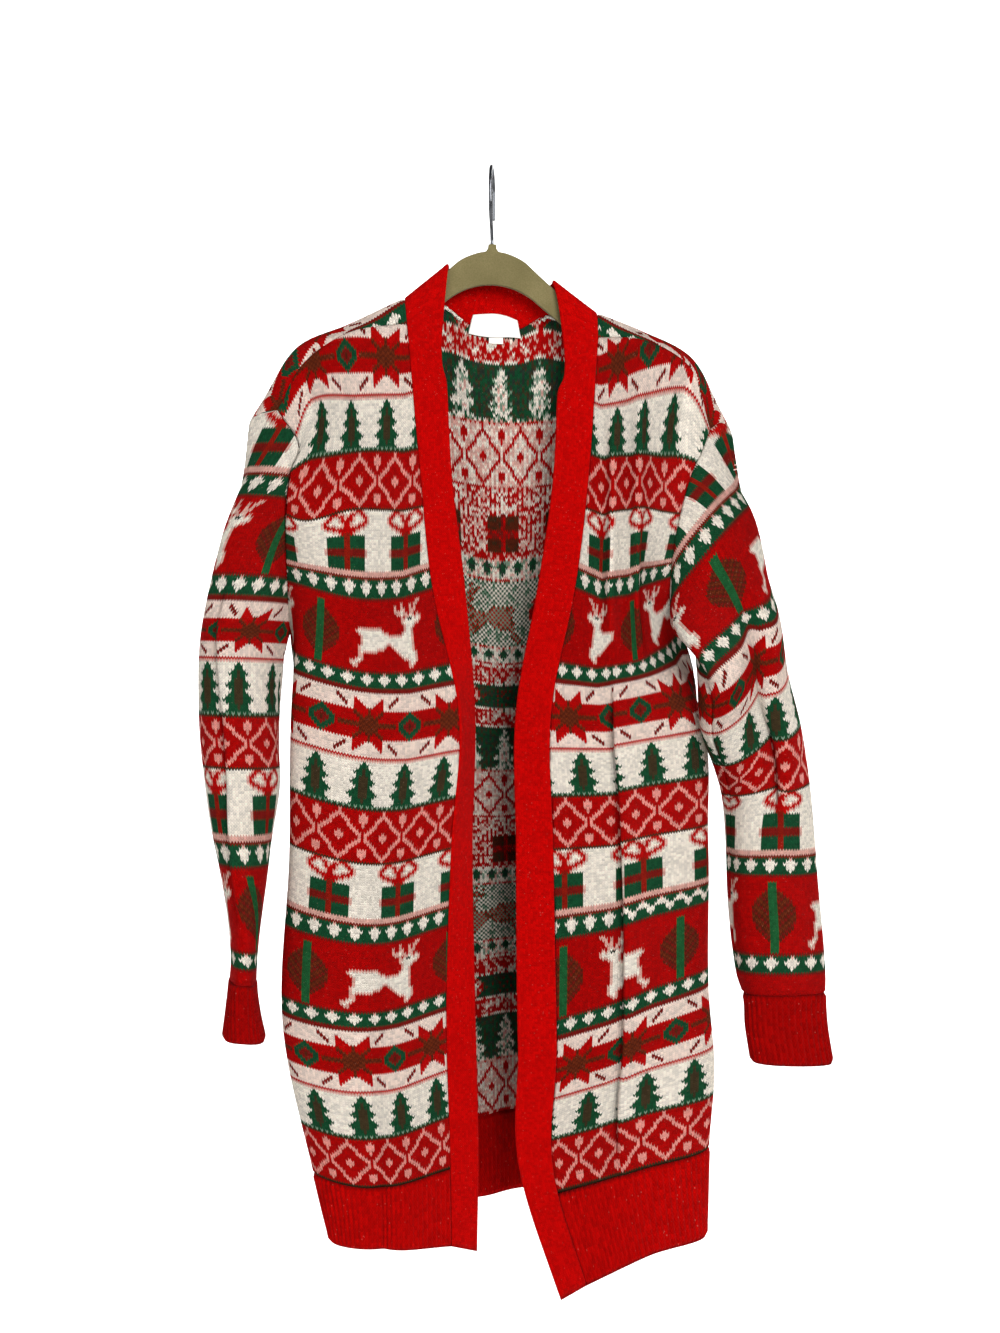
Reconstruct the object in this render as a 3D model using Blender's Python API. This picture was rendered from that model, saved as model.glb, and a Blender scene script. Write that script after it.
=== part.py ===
"""Long open-front jacquard cardigan on a slim flocked hanger with a wire hook.

Metres, +Z up, +Y to the back. The origin is the inside top of the hook, where the rod carries it.
The tables give millimetres: out is +X (to the right as seen from the front), depth is +Y and drop
is the distance below the origin. Fall runs down a piece: 0 at its upper seam, 1 at its rib.
"""

from collections import namedtuple
from math import cos, pi, radians, sin

import bmesh
import bpy
import numpy as np
from mathutils.bvhtree import BVHTree

COLLECTION = "christmas_cardigan_on_hanger"

MM = 0.001
SEAM_GAP = 0.3 * MM

KNIT = 2.6 * MM
BAND_KNIT = 3.0 * MM
RIB_KNIT = 2.6 * MM
RIB_RISE = 0.8 * MM

SLEEVE_COURSES = 210
CAP_COURSES = 30
BACK_WIDTH = 460 * MM
CUFF_RIBS = 37
FRONT_RIBS = 38
BACK_RIBS = 92

HANGER_THICK = 5 * MM
HANGER_EDGE = 0.8 * MM
HANGER_TILT = radians(1.3)
TILT_ABOUT = (1, 76)
SPIKE_BASE = 5
SPIKE_TOP = 2.2
SPIKE_TOP_DROP = 65.8
SPIKE_FOOT = 0.6
WIRE = 3 * MM
HOOK_RADIUS = 18 * MM
HOOK_END = -41 * MM
HOOK_TURN = radians(4)
LABEL_THICK = 0.6 * MM
LABEL_FROM = 4

LET_GO = 42
UNDERARM = 0.33
RIDGE_FALL = 0.030
NECK_FALL = 0.055
NECK_FROM = 145
BACK_MIDDLE = 227
NECK_TO = 315

# Where the lines of a front run across it, in mm, and the least room between them.
SIDE_LINE = 150
MIDDLE_ROOM = 30
SIDE_ROOM = 16

FINE_COLUMNS = 240
FOLD_FADE = 12 * MM
BAND_SHARES = (0, 0.33, 0.67, 1)
# A mitred offset is no longer than 1 / MITRE_LIMIT; an inset is at most 1 / sqrt(INSET_LIMIT).
MITRE_LIMIT = 0.62
INSET_LIMIT = 0.12
RIM_ORDER = (0.31, 0.17, 1.0)

Row = namedtuple("Row", "fall out depth drop")
Fold = namedtuple("Fold", "across start end half overlap rise")
Ring = namedtuple("Ring", "course out depth drop in_out in_depth in_drop half")
Wale = namedtuple("Wale", "fall across")
Edge = namedtuple("Edge", "across out depth drop")
Puff = namedtuple("Puff", "turn half courses out depth drop")
Sewn = namedtuple("Sewn", "clear points")

# ---------------------------------------------------------------- wale lines of the left front
LEFT_EDGE = [
    Row(0.00, -72, -8, 133),
    Row(0.08, -66.5, -14, 194),
    Row(0.16, -60.5, -19, 258),
    Row(0.30, -49, -27, 362.5),
    Row(0.42, -28.5, -31, 454),
    Row(0.60, -34, -33, 575),
    Row(0.80, -38, -33, 711),
    Row(1.00, -34.5, -31, 842),
    Row(1.09, -33.6, -29, 907),
]
LEFT_MIDDLE = [
    Row(0.00, -121, -8, 140.7),
    Row(0.08, -114, -17, 211),
    Row(0.16, -113, -26, 271),
    Row(0.30, -110.5, -37, 380),
    Row(0.42, -104, -41, 465),
    Row(0.60, -102, -43, 590),
    Row(0.80, -100, -43, 728),
    Row(1.00, -97, -38, 857),
    Row(1.09, -96, -38, 908),
]
LEFT_SIDE = [
    Row(0.00, -160, -9, 167.6),
    Row(0.08, -149, -15, 226),
    Row(0.16, -160, -18, 291),
    Row(0.25, -162, -18, 342),
    Row(0.33, -163, -17, 396),
    Row(0.42, -168, -12, 458),
    Row(0.60, -170, -9, 582),
    Row(0.80, -176, -8, 722),
    Row(1.00, -150, -8, 850),
    Row(1.09, -136, -9, 908),
]
LEFT_SEAM = [
    Row(0.00, -181, -12, 207),
    Row(0.05, -162.5, -14, 236),
    Row(0.10, -170, -10, 258),
    Row(0.16, -174, -9, 289),
    Row(0.25, -174, -7, 341),
    Row(0.33, -171, 0, 394),
    Row(0.42, -164, 13, 459),
    Row(0.60, -160, 19, 582),
    Row(0.80, -167, 20, 722),
    Row(1.00, -141, 17, 850),
    Row(1.09, -126.5, 15, 904),
]

# --------------------------------------------------------------- wale lines of the right front
RIGHT_EDGE = [
    Row(0.00, 90, -8, 144.7),
    Row(0.08, 86, -14, 202.7),
    Row(0.16, 81.6, -19, 261.4),
    Row(0.30, 69, -26, 361.7),
    Row(0.42, 50.6, -29, 452.6),
    Row(0.60, 51.4, -31, 576.4),
    Row(0.80, 54, -38, 735),
    Row(1.00, 54.5, -48, 857),
    Row(1.09, 77.5, -62, 928),
]
RIGHT_MIDDLE = [
    Row(0.00, 126, -8, 146.5),
    Row(0.08, 121.6, -17, 221),
    Row(0.16, 119, -25, 277.5),
    Row(0.30, 115.6, -33, 379.5),
    Row(0.42, 120, -38, 457),
    Row(0.60, 121, -42, 571),
    Row(0.80, 119, -46, 713.6),
    Row(1.00, 119, -50, 838),
    Row(1.09, 128, -54, 907),
]
RIGHT_SIDE = [
    Row(0.00, 166, -9, 168.6),
    Row(0.08, 154, -15, 241),
    Row(0.16, 146, -20, 296),
    Row(0.25, 139, -23, 350),
    Row(0.33, 145, -26, 400),
    Row(0.42, 173, -17, 459.4),
    Row(0.60, 181.5, -10, 571.6),
    Row(0.80, 182, -11, 701),
    Row(0.90, 186.5, -12, 762),
    Row(1.00, 182, -12, 827),
    Row(1.09, 180, -12, 902),
]
RIGHT_SEAM = [
    Row(0.00, 184, -12, 223),
    Row(0.05, 178, -13, 240),
    Row(0.10, 168, -13, 262),
    Row(0.16, 157, -15, 302),
    Row(0.25, 151, -19, 350),
    Row(0.29, 151, -25, 374),
    Row(0.33, 159, -31, 398),
    Row(0.37, 169, -15, 426),
    Row(0.42, 174, 6, 459),
    Row(0.60, 173, 18, 571),
    Row(0.80, 174, 19, 700),
    Row(1.00, 172, 16, 822),
    Row(1.09, 171, 14, 900),
]

# -------------------------------------------------------------------- wale lines of the back
BACK_LEFT_SEAM = [
    Row(0.00, -181, -12, 207),
    Row(0.03, -196, -7, 209),
    Row(0.06, -206, 0, 217),
    Row(0.10, -200, 9, 240),
    Row(0.16, -187, 13, 282),
    Row(0.25, -177, 11, 345),
    Row(0.33, -171, 0, 394),
    Row(0.42, -164, 13, 459),
    Row(0.60, -160, 19, 582),
    Row(0.80, -167, 20, 722),
    Row(1.00, -141, 17, 850),
    Row(1.09, -126.5, 15, 904),
]
BACK_LEFT_SHOULDER = [
    Row(0.000, -160, -9, 167.6),
    Row(0.015, -162, -4.8, 155.4),
    Row(0.030, -163, 0, 151.2),
    Row(0.045, -164, 4.8, 155.6),
    Row(0.075, -166, 9, 178),
    Row(0.16, -160, 17, 243),
    Row(0.33, -146, 29, 380),
    Row(0.60, -140, 37, 570),
    Row(0.80, -143, 37, 708),
    Row(1.00, -126, 34, 843),
    Row(1.09, -116, 33, 903),
]
BACK_LEFT_MIDDLE = [
    Row(0.000, -121, -8, 140.7),
    Row(0.015, -122, -4.8, 137.4),
    Row(0.030, -122, 0, 133.6),
    Row(0.045, -122, 4.8, 137.8),
    Row(0.070, -121, 9, 160),
    Row(0.14, -116, 14, 226),
    Row(0.33, -104, 27, 372),
    Row(0.60, -98, 36, 561),
    Row(0.80, -98, 38, 699),
    Row(1.00, -92, 35, 838),
    Row(1.09, -90, 35, 902),
]
BACK_LEFT_NECK = [
    Row(0.000, -72, -8, 133),
    Row(0.018, -73.5, -4.8, 115.2),
    Row(0.030, -74, 0, 111.4),
    Row(0.044, -74, 5, 115.6),
    Row(0.080, -72, 11, 141),
    Row(0.16, -68, 16, 208),
    Row(0.40, -58, 27, 402),
    Row(0.61, -54, 33, 552),
    Row(0.80, -52, 35, 685),
    Row(1.00, -48, 33, 825),
    Row(1.09, -47, 33, 893),
]
BACK_CENTRE = [
    Row(0.055, 3, 20, 134.5),
    Row(0.12, 4, 22, 190),
    Row(0.24, 5, 25, 299),
    Row(0.37, 6, 29, 399),
    Row(0.58, 7, 34, 539),
    Row(0.79, 8, 36, 668.5),
    Row(1.00, 9, 34, 809),
    Row(1.09, 11, 34, 879),
]
BACK_RIGHT_NECK = [
    Row(0.000, 90, -8, 144.7),
    Row(0.018, 89.5, -4.8, 128),
    Row(0.030, 89, 0, 124.2),
    Row(0.044, 89, 5, 128.4),
    Row(0.080, 87, 11, 153),
    Row(0.16, 83, 16, 216),
    Row(0.40, 73, 27, 405),
    Row(0.61, 69, 33, 552),
    Row(0.80, 67, 35, 683),
    Row(1.00, 65, 33, 820),
    Row(1.09, 66, 33, 886),
]
BACK_RIGHT_MIDDLE = [
    Row(0.000, 126, -8, 146.5),
    Row(0.015, 126, -4.8, 142.6),
    Row(0.030, 126, 0, 138.8),
    Row(0.045, 126, 4.8, 143),
    Row(0.070, 125, 9, 165),
    Row(0.14, 122, 14, 230),
    Row(0.33, 113, 26, 374),
    Row(0.60, 110, 35, 557),
    Row(0.80, 111, 37, 690),
    Row(1.00, 110, 34, 822),
    Row(1.09, 109, 33, 892),
]
BACK_RIGHT_SHOULDER = [
    Row(0.000, 166, -9, 168.6),
    Row(0.013, 167, -4.8, 164),
    Row(0.030, 168, 0, 160.8),
    Row(0.045, 169, 4.8, 165.2),
    Row(0.075, 168, 9, 184),
    Row(0.16, 163, 16, 247),
    Row(0.33, 150, 28, 382),
    Row(0.60, 152, 36, 564),
    Row(0.80, 153, 37, 694),
    Row(1.00, 152, 33, 822),
    Row(1.09, 150, 31, 897),
]
BACK_RIGHT_SEAM = [
    Row(0.00, 184, -12, 223),
    Row(0.03, 194, -8, 217),
    Row(0.06, 203, 0, 224),
    Row(0.10, 199, 8, 246),
    Row(0.16, 184, 12, 290),
    Row(0.25, 171, 4, 346),
    Row(0.29, 166, -12, 372),
    Row(0.33, 159, -31, 398),
    Row(0.37, 169, -15, 426),
    Row(0.42, 174, 6, 459),
    Row(0.60, 173, 18, 571),
    Row(0.80, 174, 19, 700),
    Row(1.00, 172, 16, 822),
    Row(1.09, 171, 14, 900),
]

# ------------------------------------- neck seam of the back, between its two shoulders
NECK_SEAM = [
    Edge(160, -60, 9.5, 116),
    Edge(181, -38, 14, 116.5),
    Edge(203, -20, 18, 128.8),
    Edge(227, 3, 20, 134.5),
    Edge(248, 24, 18, 133),
    Edge(269, 42, 14.5, 124),
    Edge(294, 66, 10, 127),
]

# ------------------------------------------------ cut of the panels: distance across in mm
# On a front, across runs from the straight centre edge (0) to the side seam. On the back it runs
# from the left side seam.
MIDDLE_LINE = [
    Wale(0.0, 95),
    Wale(0.16, 94),
    Wale(0.30, 92),
    Wale(0.42, 85),
    Wale(0.60, 76),
    Wale(0.80, 72),
    Wale(1.0, 78),
]
V_NECK = [Wale(0.0, 45), Wale(0.15, 29), Wale(0.30, 12), Wale(0.42, 0), Wale(1.0, 0)]
FRONT_ARMHOLE = [
    Wale(0.0, 181),
    Wale(0.06, 166),
    Wale(0.14, 157),
    Wale(0.22, 158),
    Wale(0.29, 172),
    Wale(0.33, 190),
    Wale(1.0, 190),
]
BACK_ARMHOLE = [
    Wale(0.0, 9),
    Wale(0.08, 18),
    Wale(0.18, 20),
    Wale(0.28, 9),
    Wale(0.33, 0),
    Wale(1.0, 0),
]

# ------------------------------------------------------------ folds, in mm across the panels
LEFT_FOLDS = [Fold(72, 0.74, 1.20, 20, 3, -7)]
RIGHT_FOLDS = [Fold(62, 0.34, 1.04, 9, 8, 5.5)]
RIGHT_PLEATS = [
    Fold(64, 0.06, 0.36, 10, 1.6, 8),
    Fold(98, 0.02, 0.38, 11, 2.0, 10),
]
BACK_RIPPLES = [
    Fold(48, 0.22, 1.30, 22, 0, 11),
    Fold(92, 0.18, 1.30, 24, 0, -9),
    Fold(150, 0.26, 1.30, 26, 0, 12),
    Fold(206, 0.30, 1.30, 22, 0, -7),
    Fold(262, 0.24, 1.30, 26, 0, 12),
    Fold(318, 0.22, 1.30, 22, 0, -9),
    Fold(366, 0.20, 1.30, 24, 0, 11),
    Fold(412, 0.26, 1.30, 22, 0, -7),
]

# ------------------------------------------------------------------ sleeves, ring by ring
# The first three sizes place the outer end of a ring and the next three its inner end.
LEFT_RINGS = [
    Ring(0, -206, 0, 217, -160, 0, 330, 13),
    Ring(21, -214, 0, 263, -169, -2, 380, 24),
    Ring(40, -224, 0, 306, -176, -4, 406, 33),
    Ring(57, -233, -2, 346, -180, -7, 426, 40),
    Ring(65, -237, -2, 367, -181.2, -8, 436, 43),
    Ring(93, -245.5, -4, 417, -182.3, -4, 464, 47),
    Ring(114, -246.8, -5, 465, -182.6, 2, 492, 49),
    Ring(136, -243.5, -6, 508, -182, 2.3, 526, 50),
    Ring(160, -235, -6, 567, -189, 0, 574, 51),
    Ring(169, -230, -6, 590, -191.5, -1, 596, 51),
    Ring(196, -220.5, -6, 657, -199.5, -3, 660, 49),
    Ring(204, -220, -6, 674, -200.6, -3.3, 677, 46),
    Ring(210, -221, -6, 686.5, -201, -3.2, 689, 41),
    Ring(228, -224, -6, 714, -198.5, -2.4, 716, 36),
    Ring(243, -227, -6, 737, -193.5, -1.2, 740, 30),
]
RIGHT_RINGS = [
    Ring(0, 202, -1, 228, 156, -6, 330, 13),
    Ring(19, 213, 0, 271, 158, -16, 360, 17),
    Ring(30, 219, 0, 292, 161, -31, 391, 19),
    Ring(45, 221.5, -1, 324, 171, -46, 406, 21),
    Ring(57, 224, -2, 351, 177, -54, 422, 23),
    Ring(65, 228, -3, 370, 180, -56, 436, 26),
    Ring(93, 240, -7, 432, 182, -50, 482, 29),
    Ring(114, 251, -9, 475, 192, -42, 508, 32),
    Ring(136, 261, -11, 526, 198, -34, 534, 33),
    Ring(160, 268, -13, 583, 200, -28, 583.5, 33),
    Ring(169, 270, -13, 601, 200, -26, 601, 32),
    Ring(196, 276.5, -13, 665, 205, -24, 665, 29),
    Ring(204, 278, -13, 684, 208, -23, 684, 26),
    Ring(210, 278.5, -13, 696.5, 212, -22, 696.5, 20),
    Ring(228, 280.5, -13, 727, 214.5, -22, 725.5, 16.5),
    Ring(243, 285.5, -13, 757, 219, -22, 754.5, 15.5),
]
LEFT_PUFF = Puff(0.15, 0.08, 32, 0, -4, 0)
RIGHT_PUFF = Puff(0.12, 0.09, 46, -24, -12, 4)
LEFT_SLEEVE_FOLD = Fold(0.285, 0.16, 0.93, 0.034, 7, -4.5)
RIGHT_SLEEVE_FOLD = Fold(0.235, 0.14, 0.70, 0.042, 12, 8)
RING_SQUARENESS = 0.78

# --------------------------------------------------------------- inner edge of the front band
BAND_LEFT_INNER = [
    Row(-0.030, -36.8, 0, 82),
    Row(-0.018, -37.0, -4.8, 84.6),
    Row(-0.009, -38.5, -7.2, 100),
    Row(0.00, -40.5, -9, 122),
    Row(0.08, -37.5, -14, 190),
    Row(0.16, -34, -18, 256),
    Row(0.30, -22, -22, 361),
    Row(0.42, -15, -12, 452),
    Row(0.60, -16.5, -17, 573),
    Row(0.80, -13.8, -24, 710),
    Row(1.00, -11.2, -24, 843),
    Row(1.09, -12.4, -20, 914),
]
BAND_RIGHT_INNER = [
    Row(-0.030, 51.5, 0, 96),
    Row(-0.018, 51.9, -4.8, 98.4),
    Row(-0.009, 55.5, -7.2, 113.5),
    Row(0.00, 58.5, -9, 135),
    Row(0.08, 54.8, -13, 197),
    Row(0.16, 52, -16, 256),
    Row(0.30, 38, -19, 358),
    Row(0.42, 21, -22, 451),
    Row(0.60, 20, -27, 574),
    Row(0.80, 21.5, -40, 735),
    Row(1.00, 27.5, -56, 856),
    Row(1.09, 56, -76, 935),
]
NECK_INNER = [
    Row(0.00, -36.8, 0, 82),
    Row(0.08, -36, 6, 84.5),
    Row(0.30, -20, 14, 90),
    Row(0.50, 5, 16.5, 94),
    Row(0.70, 32, 14, 96),
    Row(0.92, 50, 6, 97.4),
    Row(1.00, 51.5, 0, 96),
]

# ------------------------------------------------- rows and columns of the modelled walls
FRONT_ROWS = [0, 0.03, 0.06, 0.10, 0.16, 0.22, 0.28, 0.33, 0.37, 0.42, 0.50]
FRONT_ROWS += [0.60, 0.70, 0.80, 0.90, 1.00, 1.09]
BACK_ROWS = [0, 0.015, 0.030, 0.0425, 0.055, 0.08, 0.12, 0.16, 0.20, 0.25, 0.29, 0.33]
BACK_ROWS += [0.37, 0.42, 0.50, 0.60, 0.70, 0.80, 0.90, 1.00, 1.09]
NECK_KNOTS = [0.16, 0.28, 0.42, 0.61, 0.80, 1.00, 1.09]
LEFT_PARTS = [0, 0.10, 0.20, 0.30, 0.40, 0.50, 0.60, 0.70, 0.78, 0.86, 0.93, 1.0]
LEFT_MATCHED = [0, 0.20, 0.40, 0.60, 0.78, 0.93, 1.0]
RIGHT_PARTS = [0, 0.08, 0.16, 0.22, 0.26, 0.29, 0.32, 0.35, 0.38, 0.41, 0.45, 0.49]
RIGHT_PARTS += [0.52, 0.55, 0.58, 0.61, 0.65, 0.72, 0.80, 0.88, 0.94, 1.0]
RIGHT_MATCHED = [0, 0.16, 0.32, 0.49, 0.65, 0.80, 0.94, 1.0]
SLEEVE_ROWS = [0, 0.05, 0.10, 0.16, 0.24, 0.33, 0.45, 0.57, 0.68, 0.76, 0.84, 0.92]
SLEEVE_ROWS += [0.97, 1.0, 1.08, 1.157]
SLEEVE_TURNS = [0.04, 0.16, 0.215, 0.245, 0.27, 0.30, 0.33, 0.37, 0.44]
SLEEVE_TURNS += [0.56, 0.64, 0.72, 0.80, 0.88, 0.96]

FRONT_FALLS = np.linspace(0, 1.09, 176)
BACK_FALLS = np.r_[np.linspace(0, 0.06, 31), np.linspace(0.065, 1.09, 160)]
SLEEVE_FALLS = np.linspace(0, 1.157, 150)

# ------------------------------------- hanger, right half: out and drop before it is tilted
HANGER_TOP = [
    (0, 72),
    (9, 72.6),
    (17, 75),
    (26, 79.4),
    (36, 88),
    (44, 95.2),
    (52, 102),
    (64, 112.4),
    (76, 121),
    (88, 126.4),
    (100, 130.8),
    (112, 136.4),
    (124, 142.1),
    (136, 147),
    (148, 152.4),
    (158, 159.4),
    (165, 166.6),
    (169, 174),
]
HANGER_UNDER = [
    (0, 98),
    (10, 98.8),
    (20, 101.5),
    (32, 107.5),
    (46, 118.5),
    (62, 131),
    (80, 141),
    (100, 149),
    (124, 157),
    (148, 168),
    (158, 175),
    (164, 180),
]
# The hook's wire below its bend: depth and drop.
STEM = [(-19.5, 26), (-18.8, 33), (-15.6, 41), (-9.6, 48), (-3.6, 53.5), (-0.8, 58)]
STEM += [(0, 61.5), (0, 64.6)]

# --------------------- neck label and size tab: clear of the cloth, then (out, drop) across
LABEL = [
    Sewn(0.3, [(-16.4, 121), (-7, 120.2), (2.9, 120), (12.4, 122), (21.8, 126)]),
    Sewn(0.5, [(-17.8, 125.4), (-7.6, 125.2), (2.9, 125.2), (13, 126.6), (22.6, 130)]),
    Sewn(0.9, [(-19.0, 130), (-8, 130.4), (2.9, 130.4), (13.4, 131.2), (23.4, 134)]),
    Sewn(1.3, [(-20.0, 134.2), (-8.6, 135.4), (2.9, 135.6), (13.8, 135.8), (24.2, 138)]),
    Sewn(1.3, [(-20.6, 137.5), (-9, 139.6), (2.9, 140.6), (14, 140.4), (25, 141.6)]),
]
SIZE_TAB = [
    Sewn(0.3, [(-2.6, 136), (3.4, 136.2), (9.4, 136.2)]),
    Sewn(0.3, [(-2.7, 141), (3.4, 141.2), (9.5, 141.2)]),
    Sewn(0.3, [(-2.8, 145.4), (3.4, 145.8), (9.6, 146)]),
]

PANEL_RED = (0.42, 0.03, 0.03)
BAND_RED = (0.40, 0.01, 0.01)
RIB_RED = (0.36, 0.01, 0.01)
LABEL_WHITE = (0.8, 0.8, 0.78)
FLOCK_OLIVE = (0.16, 0.13, 0.08)
STEEL_GREY = (0.6, 0.6, 0.62)


# ------------------------------------------------------------------------------ curve tools
def hermite(knots, values, at):
    """Smooth curve through values at knots: cubic pieces with three-point slopes at the knots."""
    knots = np.asarray(knots, float)
    values = np.asarray(values, float)
    at = np.asarray(at, float)
    if values.ndim == 1:
        return hermite(knots, values[:, None], at)[..., 0]
    step = np.diff(knots)[:, None]
    chord = np.diff(values, axis=0) / step
    slope = np.empty_like(values)
    slope[0] = chord[0]
    slope[-1] = chord[-1]
    slope[1:-1] = (chord[:-1] * step[1:] + chord[1:] * step[:-1]) / (step[1:] + step[:-1])
    piece = np.clip(np.searchsorted(knots, at, side="right") - 1, 0, len(knots) - 2)
    width = step[piece]
    part = ((at - knots[piece]) / step[piece, 0])[..., None]
    start = values[piece]
    end = values[piece + 1]
    return (
        start * (1 + 2 * part) * (1 - part) ** 2
        + slope[piece] * width * part * (1 - part) ** 2
        + end * part**2 * (3 - 2 * part)
        + slope[piece + 1] * width * part**2 * (part - 1)
    )


def place(out, depth, drop):
    """Millimetres out, deep and down as a point in metres."""
    return np.stack([np.asarray(out), np.asarray(depth), -np.asarray(drop)], axis=-1) * MM


def line_at(rows, falls):
    """Points of a named line at the given falls."""
    points = place([r.out for r in rows], [r.depth for r in rows], [r.drop for r in rows])
    return hermite([r.fall for r in rows], points, falls)


def across_at(wales, falls):
    """Distance across, in metres, of a cut edge at the given falls."""
    return hermite([w.fall for w in wales], [w.across * MM for w in wales], falls)


def unit(vectors):
    """Vectors at length 1."""
    return vectors / np.maximum(np.linalg.norm(vectors, axis=-1, keepdims=True), 1e-12)


def eased(value):
    """0 below 0 and 1 above 1, with a smooth rise between."""
    value = np.clip(value, 0.0, 1.0)
    return value * value * (3.0 - 2.0 * value)


def fold_window(fold, falls):
    """How far a fold has opened at each fall: it fades in and out over a fifth of its length."""
    reach = 0.2 * (fold.end - fold.start)
    return eased((falls - fold.start) / reach) * eased((fold.end - falls) / reach)


def lap(local):
    """One lobe down and one up, of height 1 at -1 and +1: both layers of a lapped fold."""
    return local * np.exp((1.0 - local**2) / 2.0)


def ridge(local):
    """A single soft ridge of height 1."""
    return np.exp(-(local**2))


def lengths(curve):
    """Length along a line of points, from 0 at its first."""
    return np.r_[0, np.cumsum(np.linalg.norm(np.diff(curve, axis=0), axis=1))]


def resampled(curve, given, wanted):
    """A line of points known at rising given positions, read at the wanted ones."""
    return np.stack([np.interp(wanted, given, curve[:, axis]) for axis in range(3)], axis=-1)


# ------------------------------------------------------------------------------------ cloth
class Cloth:
    """A piece of knit as a fine grid of points, rows down the piece and columns across it."""

    def __init__(self, falls, points, first, last, outward):
        self.falls = falls
        self.points = points
        self.first = first
        self.last = last
        down = np.gradient(points, axis=0)
        across = np.gradient(points, axis=1)
        self.normals = unit(np.cross(across, down)) * outward

    def pick(self, grid, parts, falls):
        """Value of a grid at fractions across and falls, between its four nearest points."""
        rows = np.interp(falls, self.falls, np.arange(len(self.falls)))
        columns = np.clip(parts, 0, 1) * (grid.shape[1] - 1)
        row = np.clip(rows.astype(int), 0, grid.shape[0] - 2)
        column = np.clip(columns.astype(int), 0, grid.shape[1] - 2)
        v = (rows - row)[..., None]
        u = (columns - column)[..., None]
        top = grid[row, column] * (1 - u) + grid[row, column + 1] * u
        bottom = grid[row + 1, column] * (1 - u) + grid[row + 1, column + 1] * u
        return top * (1 - v) + bottom * v

    def at(self, parts, falls):
        """Points and unit normals at fractions across and falls."""
        parts, falls = np.broadcast_arrays(parts, falls)
        return self.pick(self.points, parts, falls), unit(self.pick(self.normals, parts, falls))

    def part_of(self, across, falls):
        """Fraction across of a distance across, in metres, at the given falls."""
        first = np.interp(falls, self.falls, self.first)
        last = np.interp(falls, self.falls, self.last)
        return (across - first) / (last - first)


def panel(lines, stations, falls, laps, ridges, outward):
    """A panel through its wale lines.

    For each fall a curve runs through the lines, the folds push it aside, and its points are
    spaced by length again between one line and the next.
    """
    grid = np.empty((len(falls), FINE_COLUMNS + 1, 3))
    for index, fall in enumerate(falls):
        points = np.array([line[index] for line in lines])
        across = np.array([station[index] for station in stations])
        chord = lengths(points)
        sample = np.linspace(across[0], across[-1], FINE_COLUMNS * 3 + 1)
        curve = hermite(chord, points, np.interp(sample, across, chord))
        tangent = unit(np.gradient(curve, axis=0))
        level = unit(np.stack([-tangent[:, 1], tangent[:, 0], 0 * tangent[:, 2]], axis=1)) * outward
        shift = np.zeros_like(curve)
        for fold in laps:
            local = (sample - fold.across * MM) / (fold.half * MM)
            lobe = (lap(local) * fold_window(fold, fall))[:, None]
            shift += lobe * (level * fold.rise - tangent * fold.overlap) * MM
        for fold in ridges:
            local = (sample - fold.across * MM) / (fold.half * MM)
            window = fold_window(fold, fall)
            shift += (ridge(local) * window)[:, None] * level * fold.rise * MM
            shift -= (lap(local) * window)[:, None] * tangent * fold.overlap * MM
        ends = eased((sample - across[0]) / FOLD_FADE) * eased((across[-1] - sample) / FOLD_FADE)
        curve = curve + shift * ends[:, None]
        length = lengths(curve)
        spaced = np.interp(length, np.interp(across, sample, length), across)
        even = np.linspace(across[0], across[-1], FINE_COLUMNS + 1)
        grid[index] = resampled(curve, spaced, even)
    return Cloth(falls, grid, stations[0], stations[-1], outward)


def ring_points(rings, courses, turns):
    """Points of the sleeve rings: a squarish loop between an inner and an outer end.

    turns is 0 at the inner end, a quarter at the front and a half at the outer end.
    """
    knots = [r.course for r in rings]
    table = np.array(rings).T
    outer = hermite(knots, place(*table[1:4]), courses)
    inner = hermite(knots, place(*table[4:7]), courses)
    half = hermite(knots, [r.half * MM for r in rings], courses)[:, None]
    angle = 2 * pi * turns
    along = (np.sign(np.cos(angle)) * np.abs(np.cos(angle)) ** RING_SQUARENESS)[:, None]
    aside = (np.sign(np.sin(angle)) * np.abs(np.sin(angle)) ** RING_SQUARENESS)[:, None]
    flat = (inner - outer) / 2 * [1, 1, 0]
    front = unit(np.stack([flat[:, 1], -flat[:, 0], 0 * flat[:, 2]], axis=1))
    front *= -np.sign(front[:, 1:2])
    points = (inner + outer) / 2 + along * flat + aside * half * front
    bunch = ((1 + along[:, 0]) / 2) ** 1.8
    points[:, 2] = outer[:, 2] + (inner[:, 2] - outer[:, 2]) * bunch
    return points


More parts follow.
